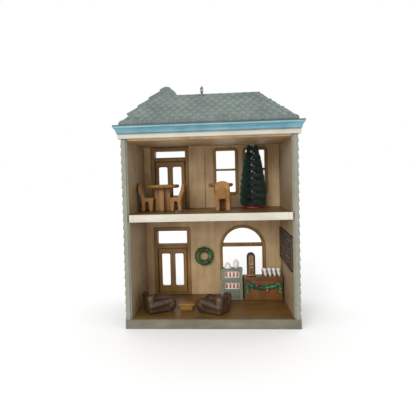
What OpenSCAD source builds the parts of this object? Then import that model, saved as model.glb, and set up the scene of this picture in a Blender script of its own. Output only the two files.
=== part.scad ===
// Open-backed two-storey Victorian cafe dollhouse, built as a shell, linings,
// moulded window and door frames, two pairs of hinged doors, a hanging eye and
// loose-cast furniture. Millimetres, +Z up. The open room side faces -Y and the
// street side faces +Y. The origin is the centre of the plinth's underside.

/* [House] */
// Width over the plinth and over the side walls
house_w = 80; // [72:0.5:100]
// How far the plinth stands out past the bay on the street side
plinth_out = 1; // [0.5:0.1:3]
// Height of the plinth
plinth_h = 4.4; // [3.5:0.1:8]
// Depth of the rooms, from the open front to the back lining
room_d = 42; // [40:0.5:54]
// Clear height of the lower room
lower_h = 44.9; // [42:0.1:58]
// Clear height of the upper room, up to the ceiling lining
upper_h = 33.9; // [33.5:0.1:46]
// Thickness of the floor between the rooms
mid_floor_t = 3.4; // [2.8:0.1:6]

/* [Walls] */
// Thickness of the outer shell of a wall, siding included
shell_t = 2.2; // [1.8:0.1:3]
// Thickness of a room lining
lining_t = 0.8; // [0.6:0.05:1.2]
// Exposed height of one siding board
siding_course = 3.75; // [3:0.05:5]
// How far the lower edge of a siding board stands out
siding_butt = 0.45; // [0.2:0.05:0.7]
// Depth of the post that ends each side wall at the open front
front_post_d = 2; // [1.5:0.1:3]
// Chamfer on the inner front edge of that post
front_chamfer = 1; // [0.4:0.1:1.4]
// How far the entrance bay stands out of the street wall
bay_out = 2; // [1:0.1:3]
// Width of the entrance bay
bay_w = 30.4; // [28:0.1:32]
// How far the upper door wall stands forward into the room
door_wall_step = 1.2; // [0.8:0.1:2]
// Width of that thicker wall, measured from the side wall
door_wall_w = 33.3; // [31:0.1:34]
// Thickness of a floor board or a board facing
board_t = 0.8; // [0.6:0.05:1.5]
// Thickness of the cream board that faces the middle floor
fascia_t = 1.2; // [0.8:0.1:2]

/* [Roof] */
// Height of the frieze board
frieze_h = 2.3; // [1.5:0.1:4]
// Projection of the frieze past the walls
frieze_out = 1; // [0.5:0.1:2]
// Height of the crown moulding
crown_h = 3.45; // [2.5:0.05:5]
// Height of the crown's top fillet
crown_fillet_h = 1.25; // [0.8:0.05:1.8]
// Projection of the crown on the sides and the street side
crown_out = 2.15; // [1.6:0.05:3]
// Projection of the crown at the open front
crown_front_out = 5; // [3:0.1:6]
// Rise of the main roof above the crown
roof_rise = 17.15; // [14:0.05:24]
// Half length of the main ridge
ridge_half = 25; // [20:0.5:28]
// Wall thickness of the moulded roof
roof_t = 2; // [1.4:0.1:3]
// Rise of the bay gable's apex above the crown
gable_rise = 24.2; // [22:0.1:30]
// Slope of the gable's outer side in degrees
gable_outer_deg = 33.5; // [30:0.5:36]
// Slope of the gable's inner side in degrees
gable_inner_deg = 45; // [40:0.5:50]
// Thickness of the gable's roof slab
gable_t = 1.5; // [1:0.1:2]
// Distance of the gable's apex from the outer face of the left wall
apex_inset = 18.2; // [16:0.1:20]
// Depth of the gable block, from the street side
gable_d = 17; // [14:0.5:20]
// How far the gable slab reaches past the street wall
gable_over = 2; // [1:0.1:3]
// How far the main roof's front eave is set back from the crown's edge
eave_setback = 2; // [1:0.1:4]

/* [Doors] */
// Distance of the doors' centre line from the left lining
door_inset = 14.3; // [13.9:0.1:14.6]
// Clear width of the lower doorway
lower_door_w = 16.6; // [13.5:0.1:18]
// Clear width of the upper doorway
upper_door_w = 17; // [13.5:0.1:18]
// Height of the door heads above the floor
door_head = 25.9; // [24:0.1:26.5]
// Height of the threshold
sill_h = 1; // [0.8:0.1:1.4]
// Height of the bar between doorway and transom light
head_bar_h = 2.2; // [2:0.1:2.8]
// Height of the lower transom light
lower_transom_h = 7.7; // [6:0.1:9]
// Width of a casing around a door
casing_w = 1.9; // [1.4:0.1:2.2]
// How far every casing stands proud of its wall
casing_proud = 0.7; // [0.4:0.1:1]
// Thickness of a jamb inside the wall
jamb_t = 1; // [0.8:0.1:1.3]
// Thickness of a door leaf
leaf_t = 1.4; // [1.2:0.1:1.8]
// Gap round a door leaf
leaf_gap = 0.15; // [0.1:0.05:0.4]
// How far the stops behind the leaves stand into a doorway
stop_t = 0.5; // [0.3:0.1:0.8]
// Width of a leaf's stile where the pair meets
meeting_stile = 1.35; // [1:0.05:1.8]
// Width of a leaf's stile on its hinge side
hinge_stile = 2.1; // [1.6:0.05:2.6]
// Height of a leaf's bottom rail above the floor
bottom_rail = 4.8; // [4:0.1:8]
// Height of a leaf's top rail below the door head
top_rail = 3; // [2:0.1:4]
// Radius of a leaf's hinge pins
pin_r = 0.4; // [0.3:0.05:0.5]
// Radial clearance of a running pin in its bore
pin_clear = 0.05; // [0.03:0.01:0.08]
// Length of a hinge pin outside its leaf
pin_len = 1; // [0.8:0.1:1.2]

/* [Windows] */
// Width of an upper window's clear opening
sash_w = 10.4; // [8:0.1:11.5]
// Height of an upper window's clear opening
sash_h = 22.8; // [18:0.1:23.5]
// Height of the opening's foot above the upper floor
sash_sill = 8.3; // [6:0.1:9]
// Height of the rail where the two sashes meet
meeting_rail_h = 1.1; // [0.8:0.1:1.6]
// Width of the casing around an upper window
sash_casing = 1.6; // [1:0.1:2]
// Distance of the left upper window's centre from the right lining
sash_inset = 29; // [28.5:0.1:29.5]
// Distance between the centres of the two upper windows
sash_pitch = 16.1; // [14.5:0.1:18]
// Distance of the arched window's centre from the right lining
arch_inset = 20.7; // [20:0.1:22]
// Radius of the arched window's clear opening
arch_r = 10.9; // [9:0.1:12]
// Height of the springing line above the lower floor
arch_spring = 25.8; // [22:0.1:27]
// Height of the arched window's foot above the lower floor
arch_sill = 10; // [8:0.1:13]
// Height of the bar under the arched light
arch_bar_h = 2; // [1.4:0.1:3]
// Width of the casing around the arched window
arch_casing = 1.65; // [1.2:0.05:2]

/* [Hanger] */
// Distance of the hanging eye from the middle of the ridge
eye_x = -3.3; // [-8:0.1:8]
// Radius of the wire ring, to the middle of the wire
eye_ring_r = 1.45; // [1.1:0.05:2]
// Turn of the ring from the house's depth, in degrees
eye_turn = 20; // [0:5:90]
// Radius of the ring's wire
eye_wire_r = 0.4; // [0.3:0.05:0.5]
// Radius of the eye's shank
shank_r = 0.6; // [0.5:0.05:0.8]
// Length of the bush that holds the shank
bush_len = 3.6; // [2.6:0.1:5]

/* [Furniture] */
// Height of the dining tables
table_h = 13.4; // [11:0.1:14.5]
// Radius of the large table's top
table_r = 8.6; // [7:0.1:9]
// Radius of the small table's top
small_table_r = 6.2; // [5:0.1:6.6]
// Height of the dining chairs
chair_h = 14.6; // [12:0.1:17]
// Height of a dining chair's seat
seat_h = 6.9; // [6:0.1:8]
// Width of a dining chair
chair_w = 7.3; // [5:0.1:8]
// Depth of a dining chair, back to front
chair_d = 8.3; // [7:0.1:8.4]
// Length of a club armchair, back to front
armchair_l = 14.6; // [12:0.1:15]
// Width of a club armchair over its arms
armchair_w = 11.4; // [10:0.1:12]
// Height of a club armchair
armchair_h = 9.4; // [8:0.1:11]
// Height of the stool
stool_h = 3.7; // [3:0.1:5]
// Height of the pastry case
case_h = 16.3; // [13:0.1:18]
// Width of the pastry case
case_w = 11.5; // [10:0.1:12]
// Height of the counter, top included
counter_h = 12.1; // [10:0.1:14]
// Depth of the counter's cabinet
counter_d = 6; // [5:0.1:8]
// Height of the coffee boiler
boiler_h = 12.6; // [9:0.1:14]
// Height of the bottle-brush tree, base included
tree_h = 33.4; // [24:0.1:33.5]
// Radius of the tree's lowest tier
tree_r = 7.4; // [5:0.1:7.7]

/* [Hidden] */
$fn = 48;

// Levels
lower_z = plinth_h;
mid_z = lower_z + lower_h;
upper_z = mid_z + mid_floor_t;
ceiling_z = upper_z + upper_h;
wall_top = ceiling_z + lining_t;
frieze_top = wall_top + frieze_h;
crown_top = frieze_top + crown_h;

// Plan
plinth_d = room_d + lining_t + shell_t + bay_out + plinth_out;
front_y = -plinth_d / 2;
back_y = front_y + room_d;
street_y = back_y + lining_t + shell_t;
bay_y = street_y + bay_out;
half_w = house_w / 2;
inner_x = half_w - shell_t - lining_t;
bay_right_x = -half_w + bay_w;
door_wall_y = back_y - door_wall_step;
door_wall_x = -inner_x + door_wall_w;

// Doors
door_x = -inner_x + door_inset;
leaf_r = leaf_t / 2;
bore_r = pin_r + pin_clear;
transom_z = door_head + head_bar_h;
upper_jamb_h = upper_h - 0.2;
upper_transom_h = upper_jamb_h - jamb_t - transom_z;
lower_jamb_h = transom_z + lower_transom_h + jamb_t;

// Windows
arch_x = inner_x - arch_inset;
sash_x1 = inner_x - sash_inset;
sash_x2 = sash_x1 + sash_pitch;

// Roof
eave_front = front_y - crown_front_out + eave_setback;
eave_back = street_y + crown_out + 0.3;
eave_x = half_w - 0.2;
ridge_y = (eave_front + eave_back) / 2;
ridge_z = crown_top + roof_rise;
roof_edge = 0.75;
apex_z = crown_top + gable_rise;
apex_x = -half_w + apex_inset;
gable_back_y = bay_y - gable_d;

// Outline of one stack of siding boards, as offsets from the wall's face
function siding(z0, z1) =
    let (count = round((z1 - z0) / siding_course), step = (z1 - z0) / count)
    [for (i = [0:count - 1], edge = [0, 1]) [-siding_butt * edge, z0 + (i + edge) * step]];

module box(low, high) {
    translate(low) cube(high - low);
}

// A flat outline drawn as X across and Z up, from y0 back to y1
module along_y(y0, y1) {
    translate([0, y1, 0]) rotate([90, 0, 0]) linear_extrude(height = y1 - y0) children();
}

// An outline drawn as Y across and Z up, from x0 to x1
module along_x(x0, x1) {
    translate([x0, 0, 0]) rotate([90, 0, 90]) linear_extrude(height = x1 - x0) children();
}

// Rectangle with true round corners, centred at its foot
module round_rect(w, h, r) {
    translate([-w / 2 + r, 0]) square([w - 2 * r, h]);
    translate([-w / 2, r]) square([w, h - 2 * r]);
    for (x = [-w / 2 + r, w / 2 - r], y = [r, h - r]) translate([x, y]) circle(r = r);
}

// House plan grown by side_out, and by front_out at the open front
module plan_slab(z0, z1, side_out, front_out) {
    box([-half_w - side_out, front_y - front_out, z0], [half_w + side_out, street_y + side_out, z1]);
    box([-half_w - side_out, front_y - front_out, z0],
        [bay_right_x + side_out, bay_y + side_out, z1]);
}

// ---- Shell ----
module base_plinth() {
    color("#87826F") difference() {
        box([-half_w, front_y, 0], [half_w, -front_y, plinth_h]);
        box([-inner_x, front_y + fascia_t, plinth_h - board_t], [inner_x, back_y, plinth_h + 1]);
    }
}

module ground_floor() {
    color("#644623") box([-inner_x, front_y + fascia_t, plinth_h - board_t],
        [inner_x, back_y, plinth_h]);
}

module side_wall(back) {
    along_y(front_y, back) polygon(concat(
        [[half_w - shell_t, lower_z]],
        [for (p = siding(lower_z, wall_top)) [half_w + p[0], p[1]]],
        [[half_w - shell_t, wall_top]]));
    translate([0, 0, lower_z]) linear_extrude(height = wall_top - lower_z) polygon([
        [half_w - shell_t + 0.01, front_y],
        [inner_x + front_chamfer, front_y],
        [inner_x, front_y + front_chamfer],
        [inner_x, front_y + front_post_d],
        [half_w - shell_t + 0.01, front_y + front_post_d]]);
}

module left_wall() {
    color("#8F9488") mirror([1, 0, 0]) side_wall(bay_y);
}

module right_wall() {
    color("#8F9488") side_wall(street_y);
}

module side_lining() {
    box([inner_x, front_y + front_post_d, lower_z],
        [half_w - shell_t, back_y + lining_t, wall_top]);
}

module left_lining() {
    color("#8F7660") mirror([1, 0, 0]) side_lining();
}

module right_lining() {
    color("#8F7660") side_lining();
}

// ---- Openings ----
// Rough opening of a door frame, standing on floor level z
module door_hole(z, w, jamb_h) {
    box([door_x - w / 2 - jamb_t, front_y, z - 0.01], [door_x + w / 2 + jamb_t, bay_y + 5, z + jamb_h]);
}

module sash_hole(x, grow) {
    box([x - sash_w / 2 - grow, front_y, upper_z + sash_sill - grow],
        [x + sash_w / 2 + grow, bay_y + 5, upper_z + sash_sill + sash_h + grow]);
}

// Arched outline that stands grow outside the clear opening
module arch_outline(grow) {
    translate([arch_x, lower_z + arch_spring]) circle(r = arch_r + grow, $fn = 72);
    translate([arch_x - arch_r - grow, lower_z + arch_sill - grow])
        square([2 * (arch_r + grow), arch_spring - arch_sill + grow]);
}

module arch_hole(grow) {
    along_y(front_y, bay_y + 5) arch_outline(grow);
}

// ---- Street walls ----
module street_wall(x0, x1, z0, z1, face) {
    along_x(x0, x1) polygon(concat(
        [[back_y + lining_t, z0]],
        [for (p = siding(z0, z1)) [face + p[0], p[1]]],
        [[back_y + lining_t, z1]]));
}

module bay_wall_lower() {
    color("#8F9488") difference() {
        street_wall(-half_w + shell_t, bay_right_x, lower_z, upper_z, bay_y);
        door_hole(lower_z, lower_door_w, lower_jamb_h);
    }
}

module bay_wall_upper() {
    color("#8F9488") difference() {
        street_wall(-half_w + shell_t, bay_right_x, upper_z, wall_top, bay_y);
        door_hole(upper_z, upper_door_w, upper_jamb_h);
    }
}

module shop_wall_lower() {
    color("#8F9488") difference() {
        street_wall(bay_right_x, half_w - shell_t, lower_z, upper_z, street_y);
        arch_hole(jamb_t);
    }
}

module shop_wall_upper() {
    color("#8F9488") difference() {
        street_wall(bay_right_x, half_w - shell_t, upper_z, wall_top, street_y);
        for (x = [sash_x1, sash_x2]) sash_hole(x, jamb_t);
    }
}

module back_lining_lower() {
    color("#B09474") difference() {
        box([-inner_x, back_y, lower_z], [inner_x, back_y + lining_t, upper_z]);
        door_hole(lower_z, lower_door_w, lower_jamb_h);
        arch_hole(jamb_t);
    }
}

module back_lining_upper() {
    color("#B09474") difference() {
        union() {
            box([-inner_x, back_y, upper_z], [inner_x, back_y + lining_t, wall_top]);
            box([-inner_x, door_wall_y, upper_z], [door_wall_x, back_y + 0.01, ceiling_z]);
        }
        door_hole(upper_z, upper_door_w, upper_jamb_h);
        for (x = [sash_x1, sash_x2]) sash_hole(x, jamb_t);
    }
}

// ---- Floors ----
module mid_floor() {
    color("#8F7660") box([-inner_x, front_y + fascia_t, mid_z], [inner_x, back_y, upper_z - board_t]);
}

module mid_fascia() {
    color("#EBE4D2") box([-inner_x, front_y, mid_z], [inner_x, front_y + fascia_t, upper_z]);
}

module upper_floor() {
    color("#644623") box([-inner_x, front_y + fascia_t, upper_z - board_t], [inner_x, back_y, upper_z]);
}

module ceiling_lining() {
    color("#6A5A4B") box([-inner_x, front_y + fascia_t, ceiling_z], [inner_x, back_y, wall_top]);
}

// ---- Cornice and roofs ----
module frieze() {
    color("#EBE4D2") plan_slab(wall_top, frieze_top, frieze_out, frieze_out);
}

// One flared block of the crown, over the plan rectangle from x0 to x1 and back to y1
module flare(x0, x1, y1, z0, z1, s0, s1, f0, f1) {
    hull() {
        box([x0 - s0, front_y - f0, z0], [x1 + s0, y1 + s0, z0 + 0.01]);
        box([x0 - s1, front_y - f1, z1 - 0.01], [x1 + s1, y1 + s1, z1]);
    }
}

module crown_cornice() {
    cove_top = crown_top - crown_fillet_h;
    color("#6FA8C8") {
        for (part = [[half_w, street_y], [bay_right_x, bay_y]])
            flare(-half_w, part[0], part[1], frieze_top, cove_top,
                frieze_out + 0.2, crown_out - 0.3, frieze_out + 1, crown_front_out - 0.6);
        plan_slab(cove_top, crown_top, crown_out, crown_front_out);
    }
}

// Hip roof body, shrunk all round by inset
module hip(inset) {
    low = crown_top - (inset > 0 ? 0.01 : 0);
    drop = inset * 1.2;
    hull() {
        box([-eave_x + inset * 1.3, eave_front + inset * 1.8, low],
            [eave_x - inset * 1.3, eave_back - inset * 1.8, low + roof_edge * (inset > 0 ? 0.1 : 1)]);
        box([-ridge_half + inset / 2, ridge_y - 0.4, ridge_z - drop - 0.3],
            [ridge_half - inset / 2, ridge_y + 0.4, ridge_z - drop]);
    }
}

module main_roof() {
    color("#808F88") difference() {
        hip(0);
        hip(roof_t);
        box([-half_w - 5, gable_back_y, crown_top - 1], [bay_right_x, bay_y + 5, ridge_z + 5]);
        gable_slab();
        translate([eye_x, ridge_y, ridge_z - 8]) cylinder(r = bush_r, h = 20);
    }
}

// Corners of the gable slab in X and Z
gable_eave_x = -half_w - 3.2;
gable_left = [gable_eave_x, apex_z - (apex_x - gable_eave_x) * tan(gable_outer_deg)];
gable_foot_x = bay_right_x + 1.8;
gable_right = [gable_foot_x, apex_z - (gable_foot_x - apex_x) * tan(gable_inner_deg)];
gable_left_in = gable_left + gable_t * [sin(gable_outer_deg), -cos(gable_outer_deg)];
gable_right_in = gable_right + gable_t * [-sin(gable_inner_deg), -cos(gable_inner_deg)];
// Underside of the slab, meeting where both inner faces cross
function outer_under(x) = gable_left_in[1] + (x - gable_left_in[0]) * tan(gable_outer_deg);
function inner_under(x) = gable_right_in[1] + (gable_right_in[0] - x) * tan(gable_inner_deg);
under_x = (gable_right_in[1] - gable_left_in[1] + gable_left_in[0] * tan(gable_outer_deg)
    + gable_right_in[0] * tan(gable_inner_deg)) / (tan(gable_outer_deg) + tan(gable_inner_deg));
apex_flat = 0.6;

module gable_slab() {
    along_y(gable_back_y, bay_y + gable_over) polygon([
        gable_left,
        [apex_x - apex_flat, apex_z - apex_flat * tan(gable_outer_deg)],
        [apex_x + apex_flat, apex_z - apex_flat * tan(gable_inner_deg)],
        gable_right,
        gable_right_in,
        [under_x, outer_under(under_x)],
        gable_left_in]);
}

module gable_roof() {
    color("#808F88") gable_slab();
}

module gable_wall() {
    color("#8F9488") along_y(gable_back_y, bay_y) polygon([
        [-half_w, crown_top],
        [bay_right_x, crown_top],
        [bay_right_x, inner_under(bay_right_x)],
        [under_x, outer_under(under_x)],
        [-half_w, outer_under(-half_w)]]);
}

// ---- Hanger ----
bush_r = 1.5;
bush_top = ridge_z + 0.5;
collar_r = 1.05;

module hanger_bush() {
    color("#808F88") translate([eye_x, ridge_y, bush_top - bush_len]) difference() {
        cylinder(r = bush_r, h = bush_len);
        translate([0, 0, -1]) cylinder(r = shank_r + pin_clear, h = bush_len + 2);
    }
}

module hanger_eye() {
    ring_z = bush_top + 0.25 + eye_ring_r + eye_wire_r;
    color("silver") translate([eye_x, ridge_y, 0]) {
        translate([0, 0, ring_z]) rotate([0, 0, eye_turn]) rotate([0, 90, 0])
            rotate_extrude() translate([eye_ring_r, 0]) circle(r = eye_wire_r, $fn = 24);
        translate([0, 0, bush_top - bush_len - 0.7])
            cylinder(r = shank_r, h = ring_z - eye_ring_r - bush_top + bush_len + 0.7);
        translate([0, 0, bush_top - bush_len - 0.7]) cylinder(r = collar_r, h = 0.6);
    }
}

// ---- Doors ----
// Room-side casing, jambs, stops, threshold and bar, with two pin bores on each side
module door_frame(z, w, y_in, jamb_h, transom_h, casing_top) {
    axis_y = y_in + leaf_r - 0.1;
    stop_y = axis_y + leaf_r + leaf_gap;
    difference() {
        union() {
            box([door_x - w / 2 - casing_w, y_in - casing_proud, z],
                [door_x + w / 2 + casing_w, y_in, z + casing_top]);
            box([door_x - w / 2 - jamb_t, y_in - 0.01, z], [door_x + w / 2 + jamb_t, bay_y, z + jamb_h]);
        }
        box([door_x - w / 2, front_y, z + sill_h], [door_x + w / 2, stop_y, z + door_head]);
        box([door_x - w / 2 + stop_t, front_y, z + sill_h],
            [door_x + w / 2 - stop_t, bay_y + 5, z + door_head - stop_t]);
        box([door_x - w / 2, front_y, z + transom_z],
            [door_x + w / 2, bay_y + 5, z + transom_z + transom_h]);
        for (side = [-1, 1]) translate([door_x + side * (w / 2 - leaf_gap - leaf_r), axis_y, z]) {
            translate([0, 0, -1]) cylinder(r = bore_r, h = sill_h + 2);
            translate([0, 0, door_head - 1]) cylinder(r = bore_r, h = 1 + pin_len + 0.3);
        }
    }
}

module lower_door_frame() {
    color("#7D5A2D") door_frame(lower_z, lower_door_w, back_y, lower_jamb_h, lower_transom_h,
        lower_jamb_h - jamb_t + casing_w);
}

module upper_door_frame() {
    color("#7D5A2D") door_frame(upper_z, upper_door_w, door_wall_y, upper_jamb_h, upper_transom_h, upper_h);
}

// One leaf of a pair: side is -1 for the left leaf and 1 for the right one
module door_leaf(z, w, y_in, side) {
    axis_x = door_x + side * (w / 2 - leaf_gap - leaf_r);
    meet_x = door_x + side * leaf_gap / 2;
    low = z + sill_h + leaf_gap;
    high = z + door_head - leaf_gap;
    lite_w = w / 2 - 1.5 * leaf_gap - meeting_stile - hinge_stile;
    lite_x = meet_x + side * (meeting_stile + lite_w / 2);
    axis_y = y_in + leaf_r - 0.1;
    difference() {
        union() {
            box([min(axis_x, meet_x), axis_y - leaf_r, low], [max(axis_x, meet_x), axis_y + leaf_r, high]);
            translate([axis_x, axis_y, low]) cylinder(r = leaf_r, h = high - low);
            translate([axis_x, axis_y, low - pin_len]) cylinder(r = pin_r, h = high - low + 2 * pin_len);
        }
        translate([lite_x, 0, 0]) along_y(axis_y - 3, axis_y + 3)
            translate([0, z + bottom_rail]) round_rect(lite_w, door_head - bottom_rail - top_rail, 0.8);
    }
}

module lower_left_door() {
    color("#8A6332") door_leaf(lower_z, lower_door_w, back_y, -1);
}

module lower_right_door() {
    color("#8A6332") door_leaf(lower_z, lower_door_w, back_y, 1);
}

module upper_left_door() {
    color("#8A6332") door_leaf(upper_z, upper_door_w, door_wall_y, -1);
}

module upper_right_door() {
    color("#8A6332") door_leaf(upper_z, upper_door_w, door_wall_y, 1);
}

module street_casing(z, w, jamb_h) {
    difference() {
        box([door_x - w / 2 - casing_w, bay_y, z],
            [door_x + w / 2 + casing_w, bay_y + casing_proud, z + jamb_h]);
        box([door_x - w / 2, bay_y - 1, z - 1], [door_x + w / 2, bay_y + 5, z + jamb_h - jamb_t]);
    }
}

module door_outer_casings() {
    color("#EBE4D2") {
        street_casing(lower_z, lower_door_w, lower_jamb_h);
        street_casing(upper_z, upper_door_w, upper_jamb_h);
    }
}

// ---- Windows ----
module arch_window_frame() {
    bar_z = lower_z + arch_spring + 0.55;
    color("#7D5A2D") difference() {
        union() {
            along_y(back_y - casing_proud, back_y) arch_outline(arch_casing);
            along_y(back_y - 0.01, street_y) arch_outline(jamb_t);
        }
        difference() {
            arch_hole(0);
            box([arch_x - arch_r - 5, back_y - 0.3, bar_z],
                [arch_x + arch_r + 5, street_y - 0.6, bar_z + arch_bar_h]);
        }
    }
}

module arch_outer_casing() {
    color("#EBE4D2") along_y(street_y, street_y + casing_proud) difference() {
        arch_outline(arch_casing);
        arch_outline(0);
    }
}

module sash_window(x) {
    rail_z = upper_z + sash_sill + sash_h / 2 - meeting_rail_h / 2 + 0.9;
    color("#7D5A2D") difference() {
        union() {
            box([x - sash_w / 2 - sash_casing, back_y - casing_proud, upper_z + sash_sill - sash_casing],
                [x + sash_w / 2 + sash_casing, back_y, upper_z + sash_sill + sash_h + sash_casing]);
            box([x - sash_w / 2 - jamb_t, back_y - 0.01, upper_z + sash_sill - jamb_t],
                [x + sash_w / 2 + jamb_t, street_y, upper_z + sash_sill + sash_h + jamb_t]);
        }
        difference() {
            sash_hole(x, 0);
            box([x - sash_w, back_y - 0.1, rail_z], [x + sash_w, street_y - 0.6, rail_z + meeting_rail_h]);
        }
    }
}

module left_sash_window() {
    sash_window(sash_x1);
}

module right_sash_window() {
    sash_window(sash_x2);
}

module sash_outer_casings() {
    bottom = upper_z + sash_sill;
    color("#EBE4D2") for (x = [sash_x1, sash_x2]) difference() {
        box([x - sash_w / 2 - sash_casing, street_y, bottom - sash_casing],
            [x + sash_w / 2 + sash_casing, street_y + casing_proud, bottom + sash_h + sash_casing]);
        sash_hole(x, 0);
    }
}

// ---- Lower room ----
wreath_r = 1.7;

module wreath() {
    ring_r = 3.65;
    color("#32784B") translate([door_wall_x - 1.3, back_y - wreath_r, lower_z + 21.5])
        rotate([90, 0, 0]) rotate_extrude() translate([ring_r, 0]) circle(r = wreath_r, $fn = 24);
}

module menu_board() {
    color("#463A34") box([inner_x - board_t, front_y + 3, lower_z + 20.6],
        [inner_x, back_y - 2, lower_z + 37.1]);
}

case_x = arch_x - 6.45;
case_y = back_y - 12.5;
case_d = 7;
shelf_w = 7.8;

module pastry_case() {
    color("#78878A") difference() {
        along_y(case_y, case_y + case_d) translate([case_x, lower_z]) round_rect(case_w, case_h, 0.6);
        for (foot = [case_h * 0.37, case_h * 0.74])
            box([case_x - shelf_w / 2, case_y - 1, lower_z + foot],
                [case_x + shelf_w / 2, case_y + 3, lower_z + foot + 3.2]);
    }
}

module pastries() {
    color("#C0682C") for (foot = [case_h * 0.37, case_h * 0.74], i = [0:3])
        translate([case_x + (i - 1.5) * 1.9, case_y + 1.5, lower_z + foot]) {
            cylinder(r = 0.75, h = 1.4);
            translate([0, 0, 1.4]) sphere(r = 0.75, $fn = 24);
        }
}

module cake_dome() {
    color("#E8E2D4") translate([case_x - 2, case_y + 3.4, lower_z + case_h]) rotate_extrude()
        polygon([[0, 0], [1.9, 0], [1.9, 0.5], [1.6, 1.8], [0.9, 2.8], [0.4, 3.1], [0.4, 3.4], [0, 3.4]]);
}

module cake_jar() {
    color("#DAD8D0") translate([case_x + 2.4, case_y + 3.4, lower_z + case_h]) rotate_extrude()
        polygon([[0, 0], [0.9, 0], [0.6, 0.6], [1.3, 1.2], [1.35, 3], [0.8, 4],
            [0.35, 4.3], [0.35, 4.8], [0, 4.8]]);
}

counter_x0 = case_x + case_w / 2 + 0.4;
counter_x1 = inner_x - 0.5;
counter_y = case_y;
counter_top_t = 1;
counter_z = lower_z + counter_h;

module counter_cabinet() {
    color("#7A5430") box([counter_x0 + 0.2, counter_y + 0.3, lower_z],
        [counter_x1 - 0.2, counter_y + counter_d, counter_z - counter_top_t]);
}

module counter_top() {
    color("#5E4025") box([counter_x0, counter_y, counter_z - counter_top_t],
        [counter_x1, counter_y + counter_d + 0.2, counter_z]);
}

// Swag outline: a sagging band with a hanging tail at each end
garland_h = 1.1;
function sag(u) = -2.6 * (1 - u * u);

module counter_garland() {
    mid_x = (counter_x0 + counter_x1) / 2;
    half = (counter_x1 - counter_x0) / 2 - 1.6;
    swag_z = counter_z - counter_top_t - 1.9;
    steps = 12;
    color("#236E46") along_y(counter_y + 0.3 - garland_h, counter_y + 0.3) translate([mid_x, swag_z]) {
        polygon(concat(
            [for (i = [-steps:steps]) [half * i / steps, sag(i / steps) + 0.9]],
            [for (i = [-steps:steps]) [-half * i / steps, sag(i / steps) - 0.9]]));
        for (side = [-1, 1]) translate([side * (half - 0.2), 0]) {
            translate([-0.9, -4.4]) square([1.8, 5.5]);
            translate([0, -4.4]) circle(r = 0.9);
        }
    }
}

module coffee_boiler() {
    boiler_r = 2.2;
    foot_r = 2.4;
    foot_h = 1;
    color("#4A2E20") along_y(counter_y + 1.6, counter_y + 4.8)
        translate([counter_x0 + 4.1, counter_z]) {
            translate([-boiler_r, 0]) square([2 * boiler_r, boiler_h - boiler_r]);
            translate([0, boiler_h - boiler_r]) circle(r = boiler_r);
            translate([-foot_r, 0]) square([2 * foot_r, foot_h]);
        }
}

module cup_rack() {
    color("white") for (i = [0:3])
        translate([counter_x1 - 1.6 - i * 2.35, counter_y + 2.9, counter_z])
            rotate_extrude() polygon([[0, 0], [0.8, 0], [1.1, 0.4], [0.9, 2.2], [1.1, 4.2], [0, 4.4]]);
}

// Club armchair with its back at x = 0 and its seat towards +X
module armchair() {
    arm_t = 3;
    arm_h = armchair_h * 0.8;
    for (side = [-1, 1]) translate([0, side * (armchair_w / 2 - arm_t / 2), 0]) {
        box([0.5, -arm_t / 2 + 0.2, 0], [armchair_l, arm_t / 2 - 0.2, arm_h - arm_t / 2]);
        translate([0.5, 0, arm_h - arm_t / 2]) rotate([0, 90, 0])
            cylinder(r = arm_t / 2, h = armchair_l - 0.5);
    }
    box([0.5, -armchair_w / 2 + 1, 0], [armchair_l - 0.8, armchair_w / 2 - 1, armchair_h * 0.45]);
    box([0.2, -armchair_w / 2 + 0.6, 0], [3.4, armchair_w / 2 - 0.6, armchair_h - 1.5]);
    translate([1.8, -armchair_w / 2 + 0.6, armchair_h - 1.6]) rotate([-90, 0, 0])
        cylinder(r = 1.6, h = armchair_w - 1.2);
}

// Each armchair keeps its near side in place when its width changes
armchair_half = 5.7;

module left_armchair() {
    color("#4B3A32") translate([door_x - 9.9, front_y + 10.4, lower_z]) rotate([0, 0, 28])
        translate([0, armchair_w / 2 - armchair_half, 0]) armchair();
}

module right_armchair() {
    color("#4B3A32") translate([door_x + 29.3, front_y + 8, lower_z]) rotate([0, 0, 148])
        translate([0, armchair_half - armchair_w / 2, 0]) armchair();
}

module footstool() {
    stool_w = 7.8;
    stool_d = 5;
    inset_x = 0.9;
    inset_y = 0.6;
    color("#AF7D32") translate([door_x + 9.9, front_y + 14.1, lower_z]) {
        box([-stool_w / 2, -stool_d / 2, stool_h - 1.1], [stool_w / 2, stool_d / 2, stool_h]);
        box([-stool_w / 2 + inset_x, -stool_d / 2 + inset_y, 0],
            [stool_w / 2 - inset_x, stool_d / 2 - inset_y, stool_h - 1]);
    }
}

// ---- Upper room ----
table_foot = 8;
small_foot = 4.6;

// Round top on a foot of two crossed boards
module round_table(top_r, foot_w) {
    top_t = 1.8;
    board_t = 2.6;
    translate([0, 0, table_h - top_t]) cylinder(r = top_r, h = top_t);
    for (turn = [0, 90]) rotate([0, 0, turn])
        box([-foot_w / 2, -board_t / 2, 0], [foot_w / 2, board_t / 2, table_h - top_t + 0.01]);
}

table_x = -inner_x + 12.4;
table_y = front_y + 23;
small_table_x = sash_x1 - 2.9;
small_table_y = front_y + 24;

module dining_table() {
    color("#A56E3C") translate([table_x, table_y, upper_z]) round_table(table_r, table_foot);
}

module small_table() {
    color("#A56E3C") translate([small_table_x, small_table_y, upper_z])
        round_table(small_table_r, small_foot);
}

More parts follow.
